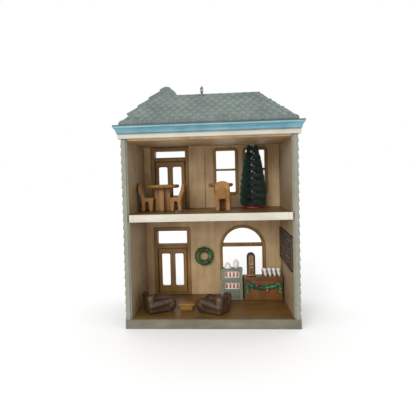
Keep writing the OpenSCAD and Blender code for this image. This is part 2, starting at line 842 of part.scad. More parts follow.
// Dining chair with its back at x = 0 and its seat towards +X
module dining_chair() {
    seat_t = 1.1;
    side_t = 2.1;
    leg_w = 1.6;
    back_foot = 2.3;
    front_foot = chair_d - 2;
    arch_z = seat_h - seat_t - 0.6;
    difference() {
        along_y(-chair_w / 2, chair_w / 2) polygon([
            [back_foot, 0], [back_foot + leg_w, 0], [back_foot + leg_w + 0.2, arch_z],
            [front_foot - 0.7, arch_z], [front_foot, 0], [front_foot + leg_w - 0.2, 0],
            [chair_d, seat_h], [back_foot + 1.7, seat_h], [1.5, chair_h - 0.3],
            [0, chair_h], [back_foot - 0.4, seat_h - 1]]);
        box([-1, -chair_w / 2 + side_t, -1], [chair_d + 1, chair_w / 2 - side_t, seat_h - seat_t]);
    }
}

// The side chairs stand with their seats up against the foot of the table
module left_dining_chair() {
    color("#A56E3C") translate([table_x - table_foot / 2 - chair_d, table_y - 1.8, upper_z])
        dining_chair();
}

module right_dining_chair() {
    color("#A56E3C") translate([table_x + table_foot / 2 + chair_d, table_y - 2, upper_z])
        rotate([0, 0, 180]) dining_chair();
}

module small_table_chair() {
    gap = 0.3;
    chair_y = small_table_y - small_foot / 2 - chair_d - gap;
    color("#A56E3C") translate([small_table_x + 0.6, chair_y, upper_z])
        rotate([0, 0, 84]) dining_chair();
}

tree_x = inner_x - 14.9;
tree_y = back_y - casing_proud - tree_r - 0.3;
tree_base_h = 1;

module tree_base() {
    color("#AA3232") translate([tree_x, tree_y, upper_z]) cylinder(r = 5, h = tree_base_h);
}

// Bottle-brush tree: the radius falls slowly at first and faster towards the top
module bristle_tree() {
    stem_r = 0.6;
    lift = 1.2;
    top = tree_h - tree_base_h;
    steps = 8;
    color("#142624") translate([tree_x, tree_y, upper_z + tree_base_h]) rotate_extrude()
        polygon(concat(
            [[0, 0], [stem_r, 0], [stem_r, lift / 2]],
            [for (i = [0:steps]) [
                tree_r * (1 - 0.6 * pow(i / steps, 2.2)),
                lift + (top - 0.6 - lift) * i / steps]],
            [[0, top]]));
}

// ---- Street side ----
deck_t = 1.4;
deck_d = 6;
rail_h = 7;

module balcony_deck() {
    color("#EBE4D2") box([-half_w + 1.5, bay_y + casing_proud, upper_z - deck_t - 0.2],
        [bay_right_x - 0.5, bay_y + casing_proud + deck_d, upper_z - 0.2]);
}

module balcony_railing() {
    x0 = -half_w + 1.9;
    x1 = bay_right_x - 0.9;
    y0 = bay_y + casing_proud;
    y1 = y0 + deck_d - 0.4;
    z0 = upper_z - 0.2;
    bar = 0.9;
    count = round((x1 - x0) / 2.4);
    color("#EBE4D2") {
        box([x0, y1 - bar, z0 + rail_h - bar], [x1, y1, z0 + rail_h]);
        for (x = [x0, x1 - bar]) box([x, y0, z0 + rail_h - bar], [x + bar, y1 - bar + 0.01, z0 + rail_h]);
        for (i = [0:count]) translate([x0 + bar / 2 + (x1 - x0 - bar) * i / count, y1 - bar / 2, z0])
            cylinder(r = 0.35, h = rail_h - bar + 0.01, $fn = 16);
    }
}

module street_step() {
    color("#87826F") box([door_x - 9, -front_y, 0], [door_x + 9, -front_y + 4.5, plinth_h / 2]);
}

base_plinth();
ground_floor();
left_wall();
right_wall();
left_lining();
right_lining();
bay_wall_lower();
bay_wall_upper();
shop_wall_lower();
shop_wall_upper();
back_lining_lower();
back_lining_upper();
mid_floor();
mid_fascia();
upper_floor();
ceiling_lining();
frieze();
crown_cornice();
main_roof();
gable_wall();
gable_roof();
hanger_bush();
hanger_eye();
lower_door_frame();
lower_left_door();
lower_right_door();
upper_door_frame();
upper_left_door();
upper_right_door();
door_outer_casings();
arch_window_frame();
arch_outer_casing();
left_sash_window();
right_sash_window();
sash_outer_casings();
wreath();
menu_board();
pastry_case();
pastries();
cake_dome();
cake_jar();
counter_cabinet();
counter_top();
counter_garland();
coffee_boiler();
cup_rack();
left_armchair();
right_armchair();
footstool();
dining_table();
left_dining_chair();
right_dining_chair();
small_table();
small_table_chair();
tree_base();
bristle_tree();
balcony_deck();
balcony_railing();
street_step();
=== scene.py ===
"""Open-backed Victorian cafe dollhouse: the looks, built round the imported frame.

Lengths are in millimetres, and MM turns them into the scene's metres. A name that ends
in _m or _deg is in metres or degrees. The house is a painted moulding: each class builds
the surfaces of one sub-assembly as whole numpy arrays, and hands each piece over with
the paint or material it is dressed in.
"""
import logging
import math
from dataclasses import dataclass, field
from enum import Enum
from typing import Callable, Optional, Sequence

import bmesh
import bpy
import numpy as np
from mathutils import Matrix, Vector


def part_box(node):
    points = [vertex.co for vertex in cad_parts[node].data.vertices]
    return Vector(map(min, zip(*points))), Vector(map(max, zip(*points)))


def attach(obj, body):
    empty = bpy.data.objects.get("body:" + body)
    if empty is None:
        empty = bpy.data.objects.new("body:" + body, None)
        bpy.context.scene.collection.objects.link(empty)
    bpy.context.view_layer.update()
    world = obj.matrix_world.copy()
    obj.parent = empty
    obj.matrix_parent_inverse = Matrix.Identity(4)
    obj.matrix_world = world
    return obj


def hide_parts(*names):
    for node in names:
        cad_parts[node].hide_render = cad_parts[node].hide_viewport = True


MM = 0.001
UP = np.array([0.0, 0.0, 1.0])
Points = np.ndarray
Outline = Callable[[float], Points]
Spot = tuple[float, float, float]
log = logging.getLogger("dollhouse")


# ---------------------------------------------------------------- finishes
ACRYLIC_IOR = 1.49
# Share of open surroundings below which the painted shade in hollows is full, and above which there is none.
HOLLOW_SHADE_RANGE = (0.35, 0.95)
# Radians that the wave node's pattern runs through for each unit of its scaled coordinate.
WAVE_RADIANS = 20.0


def linear(code: str) -> tuple[float, float, float, float]:
    """Turns an sRGB hex colour into linear light.

    Args:
        code: six hex digits, red first.

    Returns:
        Linear red, green and blue with an alpha of 1.
    """
    srgb = np.array([int(code[i:i + 2], 16) for i in (0, 2, 4)]) / 255.0
    light = np.where(srgb <= 0.04045, srgb / 12.92, ((srgb + 0.055) / 1.055) ** 2.4)
    return (*(float(v) for v in light), 1.0)


def add_node(tree: bpy.types.NodeTree, kind: str, links: Optional[dict] = None,
             **settings: object) -> bpy.types.Node:
    """Adds one shader node with its settings and its links.

    Args:
        tree: the material's or world's node tree.
        kind: the node's type name without the ShaderNode prefix.
        links: input name or index to the output socket that feeds it.
        settings: node properties, or in_NAME for an input's own value.

    Returns:
        The new node.
    """
    node = tree.nodes.new("ShaderNode" + kind)
    for key, value in settings.items():
        if key.startswith("in_"):
            node.inputs[key[3:].replace("_", " ")].default_value = value
        else:
            setattr(node, key, value)
    for key, output in (links or {}).items():
        tree.links.new(output, node.inputs[key])
    return node


class Stroke(Enum):
    """Direction that the brush was pulled in, as the stretch of its marks along X, Y and Z."""

    ALONG = (0.12, 1.0, 1.0)
    UPRIGHT = (1.0, 1.0, 0.12)
    DABBED = (1.0, 1.0, 1.0)
    FRONT_TO_BACK = (1.0, 0.12, 1.0)


@dataclass(frozen=True)
class BrushedPaint:
    """Acrylic paint brushed by hand on moulded ABS: satin, with streaks and painted shade in the hollows.

    streak_mm is the width of a brush mark, and cloud_mm that of a patch of thinner or thicker paint.
    hollow_shade is the share of the colour darkened as painted shade in hollows narrower than hollow_mm.
    board_mm is the spacing of moulded grooves, which are groove times as deep as a brush mark. The tones lie
    within spread / contrast of the middle.
    """

    name: str
    colour: str
    shade: str
    light: str
    stroke: Stroke = Stroke.DABBED
    streak_mm: float = 1.6
    roughness: float = 0.52
    relief_mm: float = 0.03
    hollow_shade: float = 0.0
    hollow_mm: float = 0.9
    board_mm: float = 0.0
    contrast: float = 1.0
    cloud_mm: float = 9.0
    spread: float = 0.16
    groove: float = 3.0
    bump: float = 0.35

    def build(self) -> bpy.types.Material:
        """Makes the node material.

        Returns:
            The material, which reads Object coordinates, and darkens where the surface is shut in as painted
            shade.
        """
        material = bpy.data.materials.new(self.name)
        material.use_nodes = True
        tree = material.node_tree
        shader = tree.nodes["Principled BSDF"]
        shader.inputs["IOR"].default_value = ACRYLIC_IOR
        place = add_node(tree, "TexCoord")
        spread = add_node(tree, "Mapping", {"Vector": place.outputs["Object"]}, in_Scale=self.stroke.value)
        streak = add_node(tree, "TexNoise", {"Vector": spread.outputs["Vector"]},
                          in_Scale=1.0 / (self.streak_mm * MM), in_Detail=3.0, in_Roughness=0.6)
        cloud = add_node(tree, "TexNoise", {"Vector": place.outputs["Object"]},
                         in_Scale=1.0 / (self.cloud_mm * MM), in_Detail=2.0)
        both = add_node(tree, "Math", {0: streak.outputs["Fac"], 1: cloud.outputs["Fac"]}, operation="ADD")
        average = add_node(tree, "Math", {0: both.outputs[0]}, operation="MULTIPLY")
        average.inputs[1].default_value = 0.5
        tone = add_node(tree, "ValToRGB", {"Fac": average.outputs[0]})
        half = self.spread / self.contrast
        ramp = tone.color_ramp
        ramp.elements[0].position, ramp.elements[0].color = 0.5 - half, linear(self.shade)
        ramp.elements[1].position, ramp.elements[1].color = 0.5 + half, linear(self.light)
        middle = ramp.elements.new(0.5)
        middle.color = linear(self.colour)
        colour = tone.outputs["Color"]
        # Painted shade: ambient occlusion darkens the colour in hollows by up to hollow_shade.
        if self.hollow_shade:
            shut_in = add_node(tree, "AmbientOcclusion", samples=8, in_Distance=self.hollow_mm * MM)
            hollow = add_node(tree, "MapRange", {"Value": shut_in.outputs["AO"]},
                              in_From_Min=HOLLOW_SHADE_RANGE[0], in_From_Max=HOLLOW_SHADE_RANGE[1],
                              in_To_Min=1.0 - self.hollow_shade, in_To_Max=1.0)
            mixed = add_node(tree, "MixRGB", {"Color1": colour, "Color2": hollow.outputs["Result"]},
                             blend_type="MULTIPLY", in_Fac=1.0)
            colour = mixed.outputs["Color"]
        tree.links.new(colour, shader.inputs["Base Color"])
        gloss = add_node(tree, "MapRange", {"Value": streak.outputs["Fac"]},
                         in_To_Min=self.roughness - 0.1, in_To_Max=self.roughness + 0.12)
        tree.links.new(gloss.outputs["Result"], shader.inputs["Roughness"])
        height = streak.outputs["Fac"]
        if self.board_mm:
            waves = 2.0 * math.pi / WAVE_RADIANS / (self.board_mm * MM)
            lines = add_node(tree, "TexWave", {"Vector": place.outputs["Object"]}, bands_direction="Z",
                             wave_profile="SAW", in_Scale=waves)
            deep = add_node(tree, "Math", {0: lines.outputs["Fac"]}, operation="MULTIPLY")
            deep.inputs[1].default_value = self.groove
            height = add_node(tree, "Math", {0: deep.outputs[0], 1: height}, operation="ADD").outputs[0]
        bump = add_node(tree, "Bump", {"Height": height}, in_Strength=self.bump,
                        in_Distance=self.relief_mm * MM)
        tree.links.new(bump.outputs["Normal"], shader.inputs["Normal"])
        return material


@dataclass(frozen=True)
class BrightWire:
    """Drawn steel wire: bare nickel plate mirrors its surroundings; a white wire that does not mirror is a
    painted glint.

    metallic is 1 for the plate, and 0 for the white painted glint. mark_mm is coarser than real draw marks, so
    they show.
    """

    name: str
    colour: str = "8E8E88"
    roughness: float = 0.24
    metallic: float = 1.0
    mark_mm: float = 0.25

    def build(self) -> bpy.types.Material:
        """Makes the node material.

        Returns:
            The wire's material.
        """
        material = bpy.data.materials.new(self.name)
        material.use_nodes = True
        tree = material.node_tree
        shader = tree.nodes["Principled BSDF"]
        shader.inputs["Metallic"].default_value = self.metallic
        shader.inputs["Base Color"].default_value = linear(self.colour)
        place = add_node(tree, "TexCoord")
        mark = add_node(tree, "TexNoise", {"Vector": place.outputs["Object"]},
                        in_Scale=1.0 / (self.mark_mm * MM), in_Detail=2.0)
        gloss = add_node(tree, "MapRange", {"Value": mark.outputs["Fac"]},
                         in_To_Min=self.roughness - 0.08, in_To_Max=self.roughness + 0.2)
        tree.links.new(gloss.outputs["Result"], shader.inputs["Roughness"])
        return material


@dataclass(frozen=True)
class Bristle:
    """Dyed crimped fibre of a bottle brush: greener towards the tips and darker towards the stem, with a thin
    sheen.
    The darkening towards the stem is painted shade in the depth of the brush.

    dye_mm is the size of a patch that took more or less dye. The colour goes from deep to tip as the reach
    times the dye goes from the first of the tones to the second, so deep is the painted shade at the stem.
    """

    name: str
    deep: str = "16251F"
    tip: str = "2E5E4B"
    roughness: float = 0.6
    sheen: float = 0.15
    dye_mm: float = 1.2
    tones: tuple[float, float] = (0.2, 0.62)

    def build(self) -> bpy.types.Material:
        """Makes the node material.

        Returns:
            The fibre's material, which reads the reach attribute: 0 at the stem and 1 at a tip.
        """
        material = bpy.data.materials.new(self.name)
        material.use_nodes = True
        tree = material.node_tree
        shader = tree.nodes["Principled BSDF"]
        shader.inputs["Roughness"].default_value = self.roughness
        shader.inputs["Sheen Weight"].default_value = self.sheen
        place = add_node(tree, "TexCoord")
        reach = add_node(tree, "Attribute", attribute_name="reach")
        dye = add_node(tree, "TexNoise", {"Vector": place.outputs["Object"]},
                       in_Scale=1.0 / (self.dye_mm * MM))
        # Painted shade: the colour darkens as the reach falls towards the stem.
        mixed = add_node(tree, "Math", {0: reach.outputs["Fac"], 1: dye.outputs["Fac"]}, operation="MULTIPLY")
        tone = add_node(tree, "ValToRGB", {"Fac": mixed.outputs[0]})
        for stop, at, colour in zip(tone.color_ramp.elements, self.tones, (self.deep, self.tip)):
            stop.position, stop.color = at, linear(colour)
        tree.links.new(tone.outputs["Color"], shader.inputs["Base Color"])
        return material


class Paints:
    """Every finish on the house, made once and shared by name."""

    # hollow_shade is painted shade: the share by which a finish darkens in its hollows.
    FINISHES = (
        BrushedPaint("plinth_grey_paint", "676252", "585446", "726E5E", Stroke.ALONG, 2.2, hollow_shade=0.3),
        BrushedPaint("siding_grey_paint", "818073", "777569", "8C8A7B", Stroke.FRONT_TO_BACK, 1.8, hollow_shade=0.6,
                     hollow_mm=1.0, contrast=0.6),
        BrushedPaint("room_tan_paint", "B89A70", "A58760", "C5A77D", Stroke.UPRIGHT, 2.4, relief_mm=0.02),
        BrushedPaint("side_room_tan_paint", "9F8867", "8D7757", "AA9573", Stroke.FRONT_TO_BACK, 2.0,
                     board_mm=3.75, relief_mm=0.05),
        BrushedPaint("floor_brown_paint", "6D4F21", "5A4018", "7C5D2A", Stroke.ALONG, 2.6, roughness=0.42),
        BrushedPaint("trim_cream_paint", "BCB6A7", "B3AC9B", "C5C0B3", Stroke.ALONG, 1.5, hollow_shade=0.35),
        BrushedPaint("crown_blue_paint", "6E9EAE", "588C9E", "83ACB6", Stroke.ALONG, 1.8, roughness=0.45,
                     hollow_shade=0.5, hollow_mm=0.8),
        # Dark band on the crown's top lip: a painted shadow under the shingles.
        BrushedPaint("crown_lip_shadow_paint", "3E453E", "333933", "4B524A", Stroke.ALONG, 1.8),
        BrushedPaint("shingle_grey_paint", "6A7671", "5A6762", "77837D", Stroke.DABBED, 1.2, roughness=0.62,
                     hollow_shade=0.9, hollow_mm=1.4),
        BrushedPaint("joinery_ochre_paint", "8C6730", "715021", "9E783F", Stroke.UPRIGHT, 1.1, hollow_shade=0.6),
        BrushedPaint("armchair_brown_paint", "433021", "2E2015", "533E2B", Stroke.DABBED, 1.5,
                     roughness=0.4, hollow_shade=0.5),
        BrushedPaint("table_tan_paint", "8E622E", "724B1E", "A0743D", Stroke.UPRIGHT, 0.9, hollow_shade=0.5),
        BrushedPaint("stool_ochre_paint", "7B5514", "66430B", "89641D", Stroke.ALONG, 0.9, hollow_shade=0.5),
        BrushedPaint("case_grey_paint", "7D8371", "676E5F", "8E907D", Stroke.UPRIGHT, 1.3, hollow_shade=0.7),
        BrushedPaint("case_inside_paint", "EDEDE8", "DEDED8", "F8F8F4", Stroke.DABBED, 1.0),
        BrushedPaint("pastry_glaze_paint", "C46A34", "A34E20", "DC8B4E", Stroke.DABBED, 0.5,
                     roughness=0.35, hollow_shade=0.3),
        BrushedPaint("china_white_paint", "F1EFE8", "DCD8CC", "FBFAF6", Stroke.DABBED, 0.9,
                     roughness=0.3, hollow_shade=0.4),
        BrushedPaint("counter_brown_paint", "653C04", "502F02", "764A07", Stroke.UPRIGHT, 1.1, hollow_shade=0.6),
        BrushedPaint("counter_top_paint", "6F4709", "563505", "82590F", Stroke.ALONG, 1.1),
        BrushedPaint("evergreen_paint", "237048", "14492F", "3C9463", Stroke.DABBED, 0.5, roughness=0.4,
                     hollow_shade=0.7),
        BrushedPaint("berry_red_paint", "BE2440", "8E162C", "D8405A", Stroke.DABBED, 0.6, roughness=0.25),
        BrushedPaint("wreath_green_paint", "2D6E37", "194C23", "4F8F4F", Stroke.DABBED, 0.5,
                     roughness=0.45, hollow_shade=0.7),
        BrushedPaint("board_frame_paint", "422C13", "311F0C", "4F3719", Stroke.ALONG, 1.0),
        BrushedPaint("board_slate_paint", "332613", "271C0E", "3D2F19", Stroke.DABBED, 1.4, roughness=0.7),
        BrushedPaint("board_chalk_paint", "8A7868", "75655A", "9A8978", Stroke.DABBED, 0.6, roughness=0.8),
        BrushedPaint("boiler_dark_paint", "3E2A20", "2A1B14", "553C2E", Stroke.DABBED, 0.8,
                     roughness=0.35, hollow_shade=0.2),
        BrushedPaint("boiler_copper_paint", "936D38", "67431E", "B28D4F", Stroke.UPRIGHT, 0.6,
                     roughness=0.35, hollow_shade=0.6),
        BrushedPaint("tree_base_red_paint", "B02A34", "8E1F28", "C4404A", Stroke.DABBED, 1.0,
                     roughness=0.35),
        BrightWire("eye_bright_wire"),
        # The tree's wire is painted white as a glint where it shows between the bristles.
        BrightWire("tree_wire_painted_glint", "F4F4F0", roughness=0.4, metallic=0.0),
        # Bristles darken towards the stem as painted shade in the depth of the brush.
        Bristle("tree_dyed_bristle_depth_shade"),
    )

    def __init__(self) -> None:
        """Builds every finish."""
        self.made = {finish.name: finish.build() for finish in self.FINISHES}

    def __getitem__(self, name: str) -> bpy.types.Material:
        """The material of that name."""
        return self.made[name]


# ---------------------------------------------------------------- surfaces
@dataclass
class Shell:
    """Closed surfaces gathered for one piece, each with the paint it is dressed in.

    points and marks hold one array for each surface, and faces and paint one entry for each face.
    """

    points: list = field(default_factory=list)
    faces: list = field(default_factory=list)
    paint: list = field(default_factory=list)
    marks: list = field(default_factory=list)
    count: int = 0

    def add(self, points: Points, faces: Sequence, paint: int = 0, mark: Optional[Points] = None) -> "Shell":
        """Adds one surface.

        Args:
            points: its vertices, one row each.
            faces: its faces as rows or tuples of vertex numbers.
            paint: number of the piece's material.
            mark: one value a vertex, kept as the reach attribute.

        Returns:
            The shell, so that calls can be chained.
        """
        points = np.asarray(points, float).reshape(-1, 3)
        self.points.append(points)
        if isinstance(faces, np.ndarray):
            self.faces += (faces + self.count).tolist()
        else:
            self.faces += [tuple(int(v) + self.count for v in face) for face in faces]
        self.paint += [paint] * len(faces)
        self.marks.append(np.ones(len(points)) if mark is None else mark)
        self.count += len(points)
        return self

    def join(self, other: "Shell", move: Optional[Callable[[Points], Points]] = None) -> "Shell":
        """Adds every surface of another shell.

        Args:
            other: the shell to add.
            move: function of its points that puts them in place, or None where they are in place.

        Returns:
            The shell, so that calls can be chained.
        """
        points = np.concatenate(other.points)
        self.points.append(move(points) if move else points)
        self.faces += [tuple(v + self.count for v in face) for face in other.faces]
        self.paint += other.paint
        self.marks += other.marks
        self.count += other.count
        return self

    def build(self, name: str, materials: Sequence[bpy.types.Material], smooth_deg: float = 35.0,
              voxel_mm: float = 0.0, soften: int = 3) -> bpy.types.Object:
        """Makes the Blender object, at the origin and unturned.

        Args:
            name: the piece's name.
            materials: the paints, in the order of their numbers.
            smooth_deg: edges sharper than this stay crisp.
            voxel_mm: when set, the surfaces are fused into one casting on voxels of this size.
            soften: smoothing passes after fusing.

        Returns:
            The new object.
        """
        mesh = bpy.data.meshes.new(name)
        mesh.from_pydata((np.concatenate(self.points) * MM).tolist(), [], self.faces)
        mesh.polygons.foreach_set("material_index", np.array(self.paint, dtype=np.int32))
        reach = mesh.attributes.new("reach", "FLOAT", "POINT")
        reach.data.foreach_set("value", np.concatenate(self.marks).astype(np.float32))
        for material in materials:
            mesh.materials.append(material)
        face_outward(mesh)
        mesh.shade_smooth()
        mesh.set_sharp_from_angle(angle=math.radians(smooth_deg))
        piece = bpy.data.objects.new(name, mesh)
        bpy.context.scene.collection.objects.link(piece)
        if voxel_mm:
            fuse = piece.modifiers.new("fuse", "REMESH")
            fuse.mode, fuse.voxel_size, fuse.use_smooth_shade = "VOXEL", voxel_mm * MM, True
            melt = piece.modifiers.new("soften", "SMOOTH")
            melt.factor, melt.iterations = 0.5, soften
        return piece


def face_outward(mesh: bpy.types.Mesh) -> None:
    """Turns every closed surface of a mesh outward."""
    work = bmesh.new()
    work.from_mesh(mesh)
    bmesh.ops.recalc_face_normals(work, faces=work.faces)
    work.to_mesh(mesh)
    work.free()


def net(rows: int, cols: int, wrap_rows: bool, wrap_cols: bool) -> np.ndarray:
    """Quads of a grid of points, each joining a point to the next in its row and in its column.

    Args:
        rows: number of rows.
        cols: points in a row.
        wrap_rows: the last row joins the first.
        wrap_cols: the last point of a row joins its first.

    Returns:
        Four vertex numbers for each quad.
    """
    r = np.arange(rows if wrap_rows else rows - 1)[:, None]
    c = np.arange(cols if wrap_cols else cols - 1)[None, :]
    r2, c2 = (r + 1) % rows, (c + 1) % cols
    corners = np.broadcast_arrays(r * cols + c, r * cols + c2, r2 * cols + c2, r2 * cols + c)
    return np.stack(corners, -1).reshape(-1, 4)


def skin(sections: Points, loop: bool = False, paint: int = 0) -> Shell:
    """Closed surface through a row of closed sections.

    Args:
        sections: sections by points by 3; each section's last point joins its first.
        loop: the last section joins the first, or else both ends get a flat cap.
        paint: number of the material.

    Returns:
        The shell.
    """
    rows, cols = sections.shape[:2]
    faces = [tuple(q) for q in net(rows, cols, loop, True)]
    if not loop:
        faces += [tuple(range(cols - 1, -1, -1)), tuple(range((rows - 1) * cols, rows * cols))]
    return Shell().add(sections.reshape(-1, 3), faces, paint)


def block(low: Sequence[float], high: Sequence[float], edge: float = 0.3, steps: int = 3,
          paint: int = 0) -> Shell:
    """Box with round edges: each point is the nearest point of a shrunken box plus edge along its normal.

    On a face, the outer points stand edge * sqrt(2) * sin(a) beyond the shrunken box, with a up to 45 degrees.

    Args:
        low: lowest corner.
        high: highest corner.
        edge: radius of the edges.
        steps: segments in a rounded edge.
        paint: number of the material.

    Returns:
        The shell.
    """
    low, high = np.asarray(low, float), np.asarray(high, float)
    half, centre = (high - low) / 2, (high + low) / 2
    edge = min(edge, half.min() * 0.999)
    arc = edge * np.sin(np.linspace(0, math.pi / 4, steps + 1)) * math.sqrt(2)
    points, faces, start = [], [], 0
    for axis in range(3):
        u, v = (axis + 1) % 3, (axis + 2) % 3
        for side in (-1.0, 1.0):
            cu = np.concatenate([-half[u] + edge - arc[::-1], half[u] - edge + arc])
            cv = np.concatenate([-half[v] + edge - arc[::-1], half[v] - edge + arc])
            grid = np.zeros((len(cu), len(cv), 3))
            grid[..., u], grid[..., v], grid[..., axis] = cu[:, None], cv[None, :], side * half[axis]
            points.append(grid.reshape(-1, 3))
            faces.append(net(len(cu), len(cv), False, False) + start)
            start += grid.shape[0] * grid.shape[1]
    q = np.concatenate(points)
    inner = np.clip(q, -(half - edge), half - edge)
    away = q - inner
    q = inner + edge * away / np.maximum(np.linalg.norm(away, axis=1, keepdims=True), 1e-9)
    merged, index = np.unique(np.round(q, 5), axis=0, return_inverse=True)
    quads = index.reshape(-1)[np.concatenate(faces)]
    sound = [tuple(dict.fromkeys(quad)) for quad in quads.tolist() if len(set(quad)) > 2]
    return Shell().add(merged + centre, sound, paint)


def lathe(profile: Sequence[Sequence[float]], centre: Sequence[float], sides: int = 32) -> Shell:
    """Surface of revolution: each profile point is a radius and a height, turned round the axis.

    Args:
        profile: rows of radius and height, from one end of the axis to the other.
        centre: point that the heights are counted from.
        sides: points round the axis.

    Returns:
        The shell.
    """
    profile = np.asarray(profile, float)
    turn = np.linspace(0, 2 * math.pi, sides, endpoint=False)
    radius = np.maximum(profile[:, :1], 1e-4)
    ring = np.stack([radius * np.cos(turn), radius * np.sin(turn), np.repeat(profile[:, 1:], sides, 1)], -1)
    return skin(ring + np.asarray(centre, float))


def tube(path: Points, radius: float | Points, sides: int = 10, loop: bool = False, paint: int = 0) -> Shell:
    """Round section carried along a path: each ring stands across the path's own direction.

    Args:
        path: points of the middle line.
        radius: one radius, or one for each point.
        sides: points round the section.
        loop: the path closes on itself.
        paint: number of the material.

    Returns:
        The shell.
    """
    path = np.asarray(path, float)
    ahead = np.roll(path, -1, 0) - np.roll(path, 1, 0) if loop else np.gradient(path, axis=0)
    ahead /= np.linalg.norm(ahead, axis=1, keepdims=True)
    # An upright path is led by +X, because UP would lie along it.
    upright = np.abs(ahead[:, 2:]).mean() > 0.9
    lead = np.where(upright, np.array([[1.0, 0, 0]]), UP[None])
    side = np.cross(ahead, lead)
    side /= np.maximum(np.linalg.norm(side, axis=1, keepdims=True), 1e-9)
    over = np.cross(side, ahead)
    turn = np.linspace(0, 2 * math.pi, sides, endpoint=False)[None, :, None]
    reach = np.broadcast_to(np.asarray(radius, float).reshape(-1, 1, 1), (len(path), 1, 1))
    rings = path[:, None] + reach * (np.cos(turn) * side[:, None] + np.sin(turn) * over[:, None])
    return skin(rings, loop, paint)


def ball(centre: Sequence[float], radius: Sequence[float] | float, sides: int = 14, paint: int = 0) -> Shell:
    """Ball or pebble: circles of latitude between two small flat poles, stretched to three half sizes.

    Args:
        centre: its middle.
        radius: one radius, or three half sizes.
        sides: points round its equator.
        paint: number of the material.

    Returns:
        The shell.
    """
    size = np.broadcast_to(np.asarray(radius, float), 3)
    pole = math.pi / 2 - 0.03
    tilt = np.linspace(-pole, pole, sides // 2 + 1)[:, None]
    turn = np.linspace(0, 2 * math.pi, sides, endpoint=False)[None]
    x = np.cos(tilt) * np.cos(turn)
    y = np.cos(tilt) * np.sin(turn)
    z = np.sin(tilt) * np.ones_like(turn)
    return skin(np.stack([x, y, z], -1) * size + np.asarray(centre, float), paint=paint)


def slab(outline: Points, y0: float, y1: float, edge: float = 0.25, paint: int = 0) -> Shell:
    """Flat outline in X and Z, drawn from y0 to y1 with bevelled rims: four sections, the outer two drawn in.

    A point is drawn in along the mitre of its two sides, by at most twice the bevel at a sharp corner.

    Args:
        outline: points of the outline.
        y0: nearer face.
        y1: farther face.
        edge: width of the bevel.
        paint: number of the material.

    Returns:
        The shell.
    """
    outline = np.asarray(outline, float)
    ahead = np.roll(outline, -1, 0) - outline
    ahead /= np.maximum(np.linalg.norm(ahead, axis=1, keepdims=True), 1e-9)
    before = np.roll(ahead, 1, 0)
    normal = np.stack([ahead[:, 1] + before[:, 1], -ahead[:, 0] - before[:, 0]], 1)
    normal /= np.maximum(np.linalg.norm(normal, axis=1, keepdims=True) ** 2 / 2, 0.5)
    area = np.sum(outline[:, 0] * np.roll(outline[:, 1], -1) - np.roll(outline[:, 0], -1) * outline[:, 1])
    inward = outline - normal * edge * np.sign(area)
    sections = [np.stack([line[:, 0], np.full(len(line), y), line[:, 1]], 1)
                for line, y in ((inward, y0), (outline, y0 + edge), (outline, y1 - edge), (inward, y1))]
    return skin(np.array(sections), paint=paint)


def moulding(outline: Outline, profile: Sequence[Sequence[float]], face_y: float, toward: float,
             loop: bool) -> Shell:
    """Casing profile carried round an opening.

    Each profile point is a distance out from the opening's edge and a height off the wall. The outline at
    that distance is laid at that height, so the corners are mitred.

    Args:
        outline: the opening's outline in X and Z as a function of the distance out.
        profile: closed section, as rows of distance out and height.
        face_y: Y of the wall's face.
        toward: -1 where the casing stands towards -Y, and 1 towards +Y.
        loop: the outline closes on itself.

    Returns:
        The shell.
    """
    lines = np.array([outline(out) for out, _ in profile])
    height = np.broadcast_to(np.array([[h] for _, h in profile]), lines.shape[:2])
    grid = np.stack([lines[..., 0], face_y + toward * height, lines[..., 1]], -1)
    return skin(np.swapaxes(grid, 0, 1), loop)


def door_outline(x0: float, x1: float, z0: float, z1: float) -> Outline:
    """Outline of a doorway, up one side, over the head and down the other."""
    return lambda out: np.array([[x0 - out, z0], [x0 - out, z1 + out], [x1 + out, z1 + out], [x1 + out, z0]])


def box_outline(x0: float, x1: float, z0: float, z1: float) -> Outline:
    """Closed rectangular outline."""
    return lambda out: np.array([[x0 - out, z0 - out], [x0 - out, z1 + out], [x1 + out, z1 + out],
                                 [x1 + out, z0 - out]])


def round_outline(x0: float, x1: float, z0: float, z1: float, corner: float, steps: int = 5) -> Outline:
    """Closed rectangle with quarter-circle corners.

    Args:
        x0: left side.
        x1: right side.
        z0: lower side.
        z1: upper side.
        corner: radius of the corners.
        steps: points in a corner.

    Returns:
        The outline as a function of the distance out.
    """
    def outline(out: float) -> Points:
        """The rounded rectangle, out from the opening's edge."""
        r = corner + out
        turn = np.linspace(0, math.pi / 2, steps)
        parts = []
        for k, (cx, cz) in enumerate(((x1 - corner, z1 - corner), (x0 + corner, z1 - corner),
                                      (x0 + corner, z0 + corner), (x1 - corner, z0 + corner))):
            angle = turn + k * math.pi / 2
            parts.append(np.stack([cx + r * np.cos(angle), cz + r * np.sin(angle)], 1))
        return np.concatenate(parts)
    return outline


def arch_outline(x: float, half: float, foot: float, spring: float, steps: int = 40) -> Outline:
    """Closed outline of an arched opening: a half circle on two straight sides and a sill.

    Args:
        x: middle of the opening.
        half: half its width, and the arch's radius.
        foot: height of the sill.
        spring: height that the arch springs from.
        steps: points in the arch.

    Returns:
        The outline as a function of the distance out.
    """
    def outline(out: float) -> Points:
        """The arch, out from the opening's edge."""
        turn = np.linspace(0, math.pi, steps)
        arc = np.stack([x + (half + out) * np.cos(turn), spring + (half + out) * np.sin(turn)], 1)
        feet = np.array([[x - half - out, foot - out], [x + half + out, foot - out]])
        return np.concatenate([arc, feet])
    return outline


def turned(points: Points, degrees: float, origin: Sequence[float]) -> Points:
    """Points turned about the upright axis and then moved to an origin."""
    c, s = math.cos(math.radians(degrees)), math.sin(math.radians(degrees))
    return points @ np.array([[c, s, 0], [-s, c, 0], [0, 0, 1]]) + np.asarray(origin, float)


